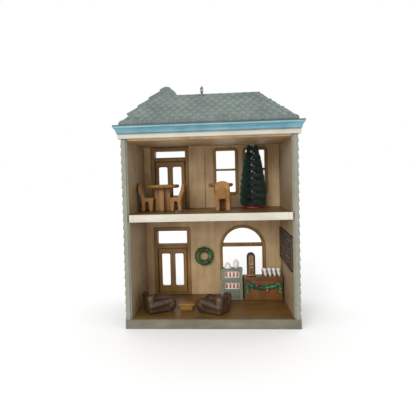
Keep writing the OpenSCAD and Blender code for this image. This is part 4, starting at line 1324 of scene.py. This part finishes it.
@dataclass
class LowerRoom:
    """The cafe: counter, pastry case, boiler, cups, armchairs, low table, wreath and menu board."""

    shop: Workshop
    rng: np.random.Generator
    counter: tuple[float, float] = (16.0, 36.5)
    counter_y: float = 5.5
    counter_z: float = LOWER_Z + 12.1
    case_x: float = 9.85
    case_w: float = 11.5
    case_h: float = 16.3
    niches: tuple[float, float] = (0.37, 0.74)
    niche_w: float = 7.8
    niche_h: float = 3.2
    case_d: float = 7.0
    dome_at: tuple[float, float] = (7.85, 8.9)
    jar_at: tuple[float, float] = (12.25, 8.9)
    armchairs: tuple = (("left", (-32.6, -13.6, LOWER_Z), 28.0), ("right", (6.6, -16.0, LOWER_Z), 148.0))
    low_table: Spot = (-12.8, -9.9, LOWER_Z + 3.7)
    wreath: Spot = (-5.0, BACK_Y - 1.7, LOWER_Z + 21.5)
    wreath_r: float = 3.65
    berry_r: float = 0.62
    cup_step: float = 2.35
    cup_lean: float = 0.16
    chalk_rows: int = 6
    chalk_step: float = 2.1

    def seating(self) -> None:
        """Both armchairs and the low table between them."""
        chair = Armchair()
        for name, spot, degrees in self.armchairs:
            shell = Shell().join(chair.shell(), lambda p, s=spot, d=degrees: turned(p, d, s))
            self.shop.hand_over(shell, name + "_club_armchair", ["armchair_brown_paint"], "armchair_paint",
                                replaces=[name + "_armchair"], voxel_mm=0.2, soften=7, smooth_deg=180)
        x, y, top = self.low_table
        shell = block((x - 3.9, y - 2.5, top - 1.1), (x + 3.9, y + 2.5, top), 0.3)
        shell.join(block((x - 3.0, y - 1.9, LOWER_Z), (x + 3.0, y + 1.9, top - 0.9), 0.25))
        self.shop.hand_over(shell, "low_cafe_table", ["stool_ochre_paint"], "stool_paint",
                            replaces=["footstool"])

    def pastry_case(self) -> None:
        """Case with two niches, their white insides, eight buns in each, and a dome and a jar on top."""
        x0, x1, y0, z0 = self.case_x - self.case_w / 2, self.case_x + self.case_w / 2, self.counter_y, LOWER_Z
        body = block((x0 + 0.15, y0 + 2.9, z0), (x1 - 0.15, y0 + self.case_d, z0 + self.case_h - 0.3), 0.5)
        feet = [z0 + self.case_h * share for share in self.niches]
        middle = (feet[0] + self.niche_h + feet[1]) / 2
        inside = Shell()
        for foot, low, high in ((feet[0], z0 + 4.6, middle), (feet[1], middle, z0 + self.case_h - 0.9)):
            hole = round_outline(self.case_x - self.niche_w / 2, self.case_x + self.niche_w / 2, foot,
                                 foot + self.niche_h, 0.35)
            rim = round_outline(x0 + 0.2, x1 - 0.2, low, high, 0.3)
            body.join(ring_plate(hole(0.0), rim(0.0), y0 + 0.25, y0 + 3.2, 0.18))
            bead = [(0, 0), (0, 0.15), (0.2, 0.25), (0.45, 0.2), (0.55, 0)]
            body.join(moulding(hole, bead, y0 + 0.27, -1, True))
            inside.join(block((self.case_x - 3.95, y0 + 1.3, foot - 0.1),
                              (self.case_x + 3.95, y0 + 2.0, foot + self.niche_h + 0.1), 0.05, 2))
            inside.join(block((self.case_x - 3.85, y0 + 0.3, foot - 0.15),
                              (self.case_x + 3.85, y0 + 1.5, foot + 0.22), 0.05, 2))
        body.join(block((x0, y0 + 0.1, z0), (x1, y0 + self.case_d, z0 + 1.2), 0.3))
        body.join(block((x0 + 0.15, y0 + 0.3, z0 + 1.0), (x1 - 0.15, y0 + 6.8, z0 + 4.9), 0.3))
        panel = box_outline(x0 + 1.6, x1 - 1.6, z0 + 2.0, z0 + 4.2)
        body.join(ring_plate(panel(0.0), panel(0.35), y0 + 0.12, y0 + 0.6, 0.1))
        body.join(block((x0, y0, z0 + self.case_h - 1.0), (x1, y0 + self.case_d, z0 + self.case_h), 0.45))
        self.shop.hand_over(body, "moulded_pastry_case", ["case_grey_paint"], "case_paint",
                            replaces=["pastry_case"])
        self.shop.hand_over(inside, "pastry_case_shelves", ["case_inside_paint"], "white_paint")
        buns = Shell()
        for foot in feet:
            for i in range(4):
                x = self.case_x + (i - 1.5) * 1.9
                buns.join(ball((x, y0 + 0.85, foot + 0.95), (0.6, 0.65, 0.8), 12))
                buns.join(ball((x, y0 + 0.8, foot + 2.0), (0.5, 0.5, 0.65), 12))
        self.shop.hand_over(buns, "glazed_pastries", ["pastry_glaze_paint"], "pastry_paint",
                            replaces=["pastries"])
        dome = [(0, 0), (1.9, 0), (1.95, 0.25), (1.6, 0.5), (1.62, 1.2), (1.35, 2.0), (0.8, 2.7), (0.3, 2.95),
                (0.42, 3.2), (0.3, 3.4), (0, 3.42)]
        self.shop.hand_over(lathe(dome, (*self.dome_at, z0 + self.case_h), 28), "white_cake_dome",
                            ["china_white_paint"], "white_paint", replaces=["cake_dome"])
        jar = [(0, 0), (1.0, 0), (1.05, 0.25), (0.85, 0.5), (1.3, 0.9), (1.48, 1.6), (1.48, 2.9), (1.25, 3.2),
               (1.35, 3.4), (1.0, 4.0), (0.45, 4.4), (0.5, 4.65), (0.25, 4.85), (0, 4.85)]
        self.shop.hand_over(lathe(jar, (*self.jar_at, z0 + self.case_h), 24), "white_footed_jar",
                            ["china_white_paint"], "white_paint", replaces=["cake_jar"])

    def counter_block(self) -> None:
        """Counter cabinet with a framed front, and its top."""
        x0, x1, y, z = self.counter[0], self.counter[1], self.counter_y, self.counter_z
        shell = block((x0 + 0.2, y + 0.3, LOWER_Z), (x1 - 0.2, y + 6, z - 0.9), 0.3)
        shell.join(block((x0 + 0.2, y + 0.1, LOWER_Z), (x1 - 0.2, y + 1.0, LOWER_Z + 0.9), 0.2))
        shell.join(block((x0 + 0.2, y + 0.12, z - 1.75), (x1 - 0.2, y + 1.0, z - 0.95), 0.2))
        self.shop.hand_over(shell, "framed_counter_front", ["counter_brown_paint"], "counter_paint",
                            replaces=["counter_cabinet"])
        top = block((x0, y, z - 1.0), (x1, y + 6.2, z), 0.35)
        self.shop.hand_over(top, "counter_worktop", ["counter_top_paint"], "counter_top_paint",
                            replaces=["counter_top"])

    def foliage(self, path: Points, radius: float, count: int, closed: bool) -> Shell:
        """Core tube with pointed leaves over it, each forward or back along the path and a little outward.

        Args:
            path: middle line.
            radius: radius of the foliage.
            count: number of leaves.
            closed: the path closes on itself.

        Returns:
            The shell.
        """
        shell = tube(path, radius * 0.66, 10, closed)
        at = self.rng.integers(0, len(path) - 1, count)
        share = self.rng.random(count)[:, None]
        spine = path[at] * (1 - share) + path[at + 1] * share
        ahead = path[at + 1] - path[at]
        ahead /= np.linalg.norm(ahead, axis=1, keepdims=True)
        around = self.rng.normal(size=(count, 3))
        around -= np.sum(around * ahead, 1, keepdims=True) * ahead
        around /= np.linalg.norm(around, axis=1, keepdims=True)
        spots = spine + around * radius * 0.5
        heading = ahead * self.rng.choice([-1.0, 1.0], (count, 1)) * 0.9 + around * 0.6
        size = self.rng.uniform(0.75, 1.1, count) * radius / 1.7
        return shell.join(scatter(leaf_shape(1.35, 0.95, 0.5), spots, heading, size))

    def greenery(self) -> None:
        """Wreath on the back wall and garland on the counter's front, with red berries."""
        x, y, z = self.wreath
        turn = np.linspace(0, 2 * math.pi, 60, endpoint=False)
        ring = np.stack([x + self.wreath_r * np.cos(turn), np.full_like(turn, y),
                         z + self.wreath_r * np.sin(turn)], 1)
        shell = self.foliage(ring, 1.75, 520, True)
        for degrees in (126, 66, 177, -4, -98):
            a = math.radians(degrees)
            spot = (x + 3.7 * math.cos(a), y - 1.1, z + 3.7 * math.sin(a))
            shell.join(ball(spot, self.berry_r, 12, paint=1))
        self.shop.hand_over(shell, "berried_wreath", ["wreath_green_paint", "berry_red_paint"],
                            "evergreen_paint", replaces=["wreath"])
        middle, half = sum(self.counter) / 2, (self.counter[1] - self.counter[0]) / 2 - 1.6
        swag_z = self.counter_z - 2.9
        front = self.counter_y - 0.3
        u = np.linspace(-1, 1, 50)
        swag = np.stack([middle + half * u, np.full(50, front), swag_z - 2.6 * (1 - u * u)], 1)
        shell = self.foliage(swag, 1.4, 300, False)
        for side in (-1, 1):
            drop = np.linspace(0.6, -4.9, 20)
            tail = np.stack([middle + side * (half - 0.2) + 0.25 * np.sin(drop * 1.4), np.full(20, front),
                             swag_z + drop], 1)
            shell.join(self.foliage(tail, 1.25, 110, False))
        for along, up, size in ((-0.93, 0.1, 0.6), (-0.98, -2.6, 0.45), (-0.4, -1.2, 0.62), (0.2, -3.7, 0.85),
                                (0.8, 0.2, 0.55), (0.98, -2.7, 0.6)):
            shell.join(ball((middle + half * along, front - 1.1, swag_z + up), size, 12, paint=1))
        self.shop.hand_over(shell, "berried_garland", ["evergreen_paint", "berry_red_paint"],
                            "evergreen_paint", replaces=["counter_garland"])

    def boiler(self) -> None:
        """Coffee boiler: an arched dark case and band, and a copper panel, collar, gauge and taps."""
        x, y0, z = self.counter[0] + 4.1, self.counter_y + 1.6, self.counter_z
        turn = np.linspace(0, math.pi, 20)

        def arch(half: float, foot: float, top: float) -> Points:
            """Arched outline of that half width, from foot to top."""
            arc = np.stack([x + half * np.cos(turn), top - half + half * np.sin(turn)], 1)
            return np.concatenate([arc, [(x - half, foot), (x + half, foot)]])

        shell = slab(arch(2.2, z, z + 12.6), y0, y0 + 3.2, 0.6)
        shell.join(slab(arch(1.35, z + 1.2, z + 11.6), y0 - 0.15, y0 + 1.0, 0.25, paint=1))
        shell.join(block((x - 2.2, y0 - 0.25, z + 5.3), (x + 2.2, y0 + 1.5, z + 6.0), 0.25))
        shell.join(block((x - 2.4, y0 - 0.1, z), (x + 2.4, y0 + 3.3, z + 0.5), 0.2))
        shell.join(block((x - 2.2, y0 - 0.2, z + 0.3), (x + 2.2, y0 + 3.2, z + 1.2), 0.35, paint=1))
        shell.join(block((x - 1.0, y0 - 0.3, z + 1.6), (x + 1.0, y0 + 0.3, z + 4.6), 0.3))
        for side in (-0.7, 0.7):
            shell.join(ball((x + side, y0 - 0.1, z + 3.4), (0.42, 0.5, 0.5), 10, paint=1))
            shell.join(tube(np.array([[x + side, y0 - 0.25, z + 3.2], [x + side, y0 - 0.4, z + 2.4],
                                      [x + side, y0 - 0.25, z + 1.7]]), 0.22, 8, paint=1))
        shell.join(ball((x, y0 - 0.1, z + 8.6), (0.75, 0.35, 0.75), 14, paint=1))
        self.shop.hand_over(shell, "copper_coffee_boiler", ["boiler_dark_paint", "boiler_copper_paint"],
                            "boiler_paint", replaces=["coffee_boiler"])

    def cups(self) -> None:
        """Four stacks of cups that lean to the left between dark slats, each two cups high."""

        def leaning(spot: Spot) -> Callable[[Points], Points]:
            """Move that leans points to the left as they rise and sets them down at a spot."""
            def move(points: Points) -> Points:
                """The points, leaned and set down."""
                z = points[:, 2]
                return points + np.array(spot) + np.stack([-self.cup_lean * z, 0 * z, 0 * z], 1)
            return move

        cup = [(0, 0), (0.7, 0), (0.75, 0.25), (0.6, 0.4), (0.95, 1.0), (1.05, 1.9), (0.95, 2.0),
               (0.75, 2.05), (0.95, 2.4), (1.1, 3.3), (1.0, 3.95), (0.55, 4.2), (0, 4.25)]
        shell = Shell()
        for i in range(4):
            base = (self.counter[1] - 1.6 - i * self.cup_step, self.counter_y + 2.9, self.counter_z)
            shell.join(lathe(cup, (0, 0, 0), 18), leaning(base))
            turn = np.linspace(-1.9, 1.9, 12)
            for up in (1.2, 3.2):
                loop = np.stack([base[0] - self.cup_lean * up + 0.15 * np.cos(turn),
                                 base[1] - 1.0 - 0.45 * np.cos(turn), base[2] + up + 0.5 * np.sin(turn)], 1)
                shell.join(tube(loop, 0.17, 6))
        for i in range(5):
            x = self.counter[1] - 0.95 - i * self.cup_step
            shell.join(block((-0.14, -1.0, 0), (0.14, 1.0, 3.6), 0.1, 2, 1),
                       leaning((x, self.counter_y + 2.9, self.counter_z)))
        self.shop.hand_over(shell, "leaning_cup_stacks", ["china_white_paint", "boiler_dark_paint"],
                            "white_paint", replaces=["cup_rack"])

    def board(self) -> None:
        """Menu board on the right wall: a frame and a middle bar over a slate with rows of plain strokes."""
        low, high = span("menu_board")
        face, rail = low[0], 1.1
        shell = block((face + 0.12, low[1] + 0.4, low[2] + 0.4), (high[0], high[1] - 0.4, high[2] - 0.4),
                      0.1, 2, 1)
        near, foot, far, top = low[1], low[2], high[1], high[2]
        for a, b in (((near, foot), (far, foot + rail)), ((near, top - rail), (far, top)),
                     ((near, foot), (near + rail, top)), ((far - rail, foot), (far, top)),
                     ((-3.1, foot), (-2.3, top))):
            shell.join(block((face, *a), (high[0], *b), 0.2, 2, 0))
        for row in range(self.chalk_rows):
            z = high[2] - 2.9 - row * self.chalk_step
            for start, stop in ((low[1] + 2.2, -4.4), (-1.4, high[1] - 2.2)):
                cuts = np.sort(self.rng.uniform(start, stop, 6)).reshape(3, 2)
                for y0, y1 in cuts[(cuts[:, 1] - cuts[:, 0]) > 0.8]:
                    shell.join(block((face + 0.02, y0, z), (face + 0.3, y1, z + 0.45), 0.08, 2, 2))
        paints = ["board_frame_paint", "board_slate_paint", "board_chalk_paint"]
        self.shop.hand_over(shell, "framed_menu_board", paints, "board_paint", replaces=["menu_board"])

    def build(self) -> None:
        """Every piece of the cafe."""
        self.seating()
        self.pastry_case()
        self.counter_block()
        self.greenery()
        self.boiler()
        self.cups()
        self.board()


@dataclass
class UpperRoom:
    """Two round tables with their chairs, and the bottle-brush tree."""

    shop: Workshop
    rng: np.random.Generator
    tables: tuple = (("dining_table", (-24.6, -1.0, UPPER_Z), Table(8.6, 8.0)),
                     ("small_table", (5.1, 0.0, UPPER_Z), Table(6.2, 4.6)))
    chairs: tuple = (("left_dining_chair", (-36.9, -2.8, UPPER_Z), 0.0),
                     ("right_dining_chair", (-12.3, -3.0, UPPER_Z), 180.0),
                     ("small_table_chair", (5.7, -10.9, UPPER_Z), 84.0))
    tree: tuple[float, float] = (22.1, 9.6)
    tree_h: float = 32.4
    tree_r: float = 7.4
    pitch: float = 7.0
    bristles: int = 24000
    taper: float = 0.66
    taper_power: float = 2.2
    fan: float = 0.75
    bare_h: float = 1.9
    bare_angle: float = 0.85
    foot_share: float = 0.06
    ripple: float = 0.10
    droop: float = -0.10
    bristle_r: float = 0.1
    wire_at: float = 0.9
    wire_r: float = 0.6

    def dining(self) -> None:
        """Both tables, and the three chairs, each chair fused into one casting."""
        for name, spot, table in self.tables:
            shell = Shell().join(table.shell(), lambda p, s=spot: p + np.array(s))
            self.shop.hand_over(shell, name + "_casting", ["table_tan_paint"], "table_paint", replaces=[name])
        for node, spot, degrees in self.chairs:
            shell = Shell().join(Chair().shell(), lambda p, s=spot, d=degrees: turned(p, d, s))
            self.shop.hand_over(shell, node + "_casting", ["table_tan_paint"], "table_paint", replaces=[node],
                                voxel_mm=0.13, soften=3, smooth_deg=180)

    def bottle_brush(self) -> None:
        """Tree: two twisted wires on a round base, and bristles held between them in two helical sheets.

        A bristle at height h leaves the stem at angle a, where a - 2 pi h / pitch lies within about fan of 0
        or pi. It is a three-sided spike that reaches out to at most tree_r (1 - taper t^taper_power), with t
        the share of the height. Over bare_h of every half turn, the bristles that point to the open side are
        left out, so that the wire shows there.
        """
        x, y = self.tree
        z0 = UPPER_Z + 1.0
        base = [(0, z0 - 1.0), (4.8, z0 - 1.0), (5.0, z0 - 0.8), (5.0, z0 - 0.3), (4.6, z0), (0, z0)]
        self.shop.hand_over(lathe(base, (x, y, 0), 40), "round_tree_base", ["tree_base_red_paint"],
                            "tree_base_paint", replaces=["tree_base"])
        count = self.bristles
        h = self.rng.uniform(0.02, 1.0, count) ** 0.85
        sheet = self.rng.integers(0, 2, count) * math.pi
        angle = 2 * math.pi * h * self.tree_h / self.pitch + sheet + self.rng.normal(0, self.fan, count)
        toward = np.abs((angle + math.pi / 2 + math.pi) % (2 * math.pi) - math.pi)
        window = ((h * self.tree_h) % (self.pitch / 2)) < self.bare_h
        keep = ~((toward < self.bare_angle) & window & (h > self.foot_share))
        h, angle = h[keep], angle[keep]
        reach = self.tree_r * (1 - self.taper * h ** self.taper_power) * self.rng.uniform(0.8, 1.0, len(h))
        reach *= 1 - self.ripple * np.cos(h * self.tree_h * 2 * math.pi / self.pitch + angle / 2) ** 2
        root = np.stack([x + 0.3 * np.cos(angle), y + 0.3 * np.sin(angle), z0 + h * (self.tree_h - 0.6)], 1)
        lift = self.rng.normal(self.droop, 0.10, len(h))
        ahead = np.stack([np.cos(angle), np.sin(angle), lift], 1)
        tip = root + ahead * reach[:, None]
        tip[:, 2] = np.clip(tip[:, 2], z0 + 0.1, z0 + self.tree_h)
        side = np.cross(ahead, UP)
        over = np.cross(side, ahead)
        turn = (np.array([0, 2, 4]) * math.pi / 3)[None, :, None]
        ring = root[:, None] + self.bristle_r * (np.cos(turn) * side[:, None] + np.sin(turn) * over[:, None])
        waist = (root * 0.15 + tip * 0.85)[:, None] + (ring - root[:, None]) * 1.3
        points = np.concatenate([ring, waist, tip[:, None]], 1)
        cell = [(2, 1, 0), (0, 1, 4), (0, 4, 3), (1, 2, 5), (1, 5, 4), (2, 0, 3), (2, 3, 5), (3, 4, 6),
                (4, 5, 6), (5, 3, 6)]
        # Reach marks run from 0 at the stem to 1 at a tip; the bristle finish darkens towards 0 as painted
        # shade.
        reach_marks = np.array([0.0, 0.0, 0.0, 0.6, 0.6, 0.6, 1.0])
        starts = np.arange(len(root))[:, None, None] * len(reach_marks)
        faces = (np.array(cell)[None] + starts).reshape(-1, 3)
        mark = np.tile(reach_marks, len(root))
        brush = Shell().add(points.reshape(-1, 3), faces, 0, mark)
        # The stem's wires wear the white painted glint.
        z = np.linspace(z0 - 0.1, z0 + self.tree_h - 0.3, 240)
        for strand in (0.0, math.pi):
            a = strand + (z - z0) * 2 * math.pi / self.pitch
            path = np.stack([x + self.wire_at * np.cos(a), y + self.wire_at * np.sin(a), z], 1)
            brush.join(tube(path, self.wire_r, 8, paint=1))
        self.shop.hand_over(brush, "bottle_brush_tree", ["tree_dyed_bristle_depth_shade", "tree_wire_painted_glint"],
                            "tree_bristle", replaces=["bristle_tree"])

    def build(self) -> None:
        """Every piece of the upper room."""
        self.dining()
        self.bottle_brush()


@dataclass
class StreetSide:
    """Door casings and balcony railing on the street side."""

    shop: Workshop
    doors: Sequence[Doorway]
    rail_w: float = 0.9
    balusters: int = 12
    bulges: float = 1.5

    def build(self) -> None:
        """Casings round both doorways, and a railing with turned balusters."""
        shell = Shell()
        for doorway in self.doors:
            shell.join(doorway.street_casing())
        self.shop.hand_over(shell, "door_street_casings", ["trim_cream_paint"], "trim_paint",
                            replaces=["door_outer_casings"])
        low, high = span("balcony_railing")
        w, half = self.rail_w, self.rail_w / 2
        rail = block((low[0], high[1] - w, high[2] - w), (high[0], high[1], high[2]), 0.3)
        for x0 in (low[0], high[0] - w):
            rail.join(block((x0, low[1], high[2] - w), (x0 + w, high[1] - 0.1, high[2]), 0.3))
        foot, top = low[2] - 0.05, high[2] - 0.5
        run = np.linspace(0, 1, 9)
        bulge = 0.3 + 0.16 * np.sin(run * 2 * math.pi * self.bulges) ** 2
        profile = np.concatenate([[(0, foot)], np.stack([bulge, foot + run * (top - foot)], 1), [(0, top)]])
        for x in np.linspace(low[0] + half, high[0] - half, self.balusters):
            rail.join(lathe(profile, (x, high[1] - half, 0), 12))
        self.shop.hand_over(rail, "turned_balcony_rail", ["trim_cream_paint"], "trim_paint",
                            replaces=["balcony_railing"])


# ---------------------------------------------------------------- studio
@dataclass(frozen=True)
class Studio:
    """Pale floor, one broad light, an even surround and the camera, whose angles are in radians."""

    camera_at: Spot = (5.935, -205.996, 67.676)
    yaw: float = -0.0749194
    pitch: float = -0.0375063
    roll: float = -0.0254836
    lens: float = 35.045
    shift: tuple[float, float] = (0.0380, -0.0287)
    floor_m: float = 4.0
    light_deg: float = 35.0

    def floor(self) -> None:
        """Pale matte floor, level with the plinth's underside."""
        mesh = bpy.data.meshes.new("studio_floor")
        r = self.floor_m
        mesh.from_pydata([(-r, -r, 0), (r, -r, 0), (r, r, 0), (-r, r, 0)], [], [(0, 1, 2, 3)])
        material = bpy.data.materials.new("studio_white_card")
        material.use_nodes = True
        shader = material.node_tree.nodes["Principled BSDF"]
        shader.inputs["Base Color"].default_value = linear("FAFAFA")
        shader.inputs["Roughness"].default_value = 0.9
        mesh.materials.append(material)
        piece = bpy.data.objects.new("studio_floor", mesh)
        bpy.context.scene.collection.objects.link(piece)

    def sun(self, name: str, toward: Sequence[float], strength: float) -> None:
        """Broad distant light with soft shadows.

        Args:
            name: its name.
            toward: direction from the house to the light.
            strength: irradiance in watts a square metre.
        """
        light = bpy.data.lights.new(name, "SUN")
        light.energy, light.angle = strength, math.radians(self.light_deg)
        lamp = bpy.data.objects.new(name, light)
        lamp.rotation_euler = Vector(toward).to_track_quat("Z", "Y").to_euler()
        bpy.context.scene.collection.objects.link(lamp)

    def sky(self, strength: float) -> None:
        """Even white surround of that strength."""
        world = bpy.data.worlds.new("studio_surround")
        bpy.context.scene.world = world
        world.use_nodes = True
        background = world.node_tree.nodes["Background"]
        background.inputs["Color"].default_value = (1.0, 1.0, 1.0, 1.0)
        background.inputs["Strength"].default_value = strength

    def camera(self) -> None:
        """Camera in front of the open side, a little above the upper floor.

        It looks ahead along yaw and pitch, and its own right and up are then rolled about that direction.
        """
        ahead = Vector((math.sin(self.yaw) * math.cos(self.pitch), math.cos(self.yaw) * math.cos(self.pitch),
                        math.sin(self.pitch)))
        right = Vector((math.cos(self.yaw), -math.sin(self.yaw), 0.0))
        over = right.cross(ahead)
        r2 = right * math.cos(self.roll) + over * math.sin(self.roll)
        u2 = over * math.cos(self.roll) - right * math.sin(self.roll)
        data = bpy.data.cameras.new("studio_camera")
        data.sensor_width, data.lens = 36.0, self.lens
        data.shift_x, data.shift_y = self.shift
        data.clip_start, data.clip_end = 0.01, 20.0
        camera = bpy.data.objects.new("studio_camera", data)
        axes = Matrix((r2, u2, -ahead)).transposed().to_4x4()
        camera.matrix_world = Matrix.Translation(Vector(self.camera_at) * MM) @ axes
        bpy.context.scene.collection.objects.link(camera)
        bpy.context.scene.camera = camera

    def build(self) -> None:
        """Everything round the object."""
        self.floor()
        self.sun("key_light", (-0.35, -1.0, 0.42), 1.5)
        self.sky(1.0)
        self.camera()
        scene = bpy.context.scene
        scene.view_settings.view_transform = "Standard"
        scene.view_settings.look = "None"


def main() -> None:
    """Builds the looks piece by piece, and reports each."""
    logging.basicConfig(level=logging.INFO, format="%(message)s")
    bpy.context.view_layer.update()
    shop = Workshop(Paints())
    lower = Doorway(shop, "lower", LOWER_Z, width=16.6, room_y=BACK_Y, jamb_h=36.8, transom_h=7.7,
                    casing_top=37.7)
    upper = Doorway(shop, "upper", UPPER_Z, width=17.0, room_y=DOOR_WALL_Y, jamb_h=33.7, transom_h=4.6,
                    casing_top=33.9)
    parts = (Walls(shop), Roofs(shop), lower, upper, Windows(shop),
             LowerRoom(shop, np.random.default_rng(7)), UpperRoom(shop, np.random.default_rng(11)),
             StreetSide(shop, (lower, upper)), Studio())
    for part in parts:
        part.build()
        log.info("%s built, %d pieces so far", type(part).__name__, shop.made)


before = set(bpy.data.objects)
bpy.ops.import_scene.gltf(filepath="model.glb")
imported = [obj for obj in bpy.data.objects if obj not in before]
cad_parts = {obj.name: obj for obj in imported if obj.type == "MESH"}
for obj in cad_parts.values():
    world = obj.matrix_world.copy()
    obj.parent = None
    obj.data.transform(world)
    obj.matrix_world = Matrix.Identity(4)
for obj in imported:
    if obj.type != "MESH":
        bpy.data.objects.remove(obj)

if __name__ == "__main__":
    main()
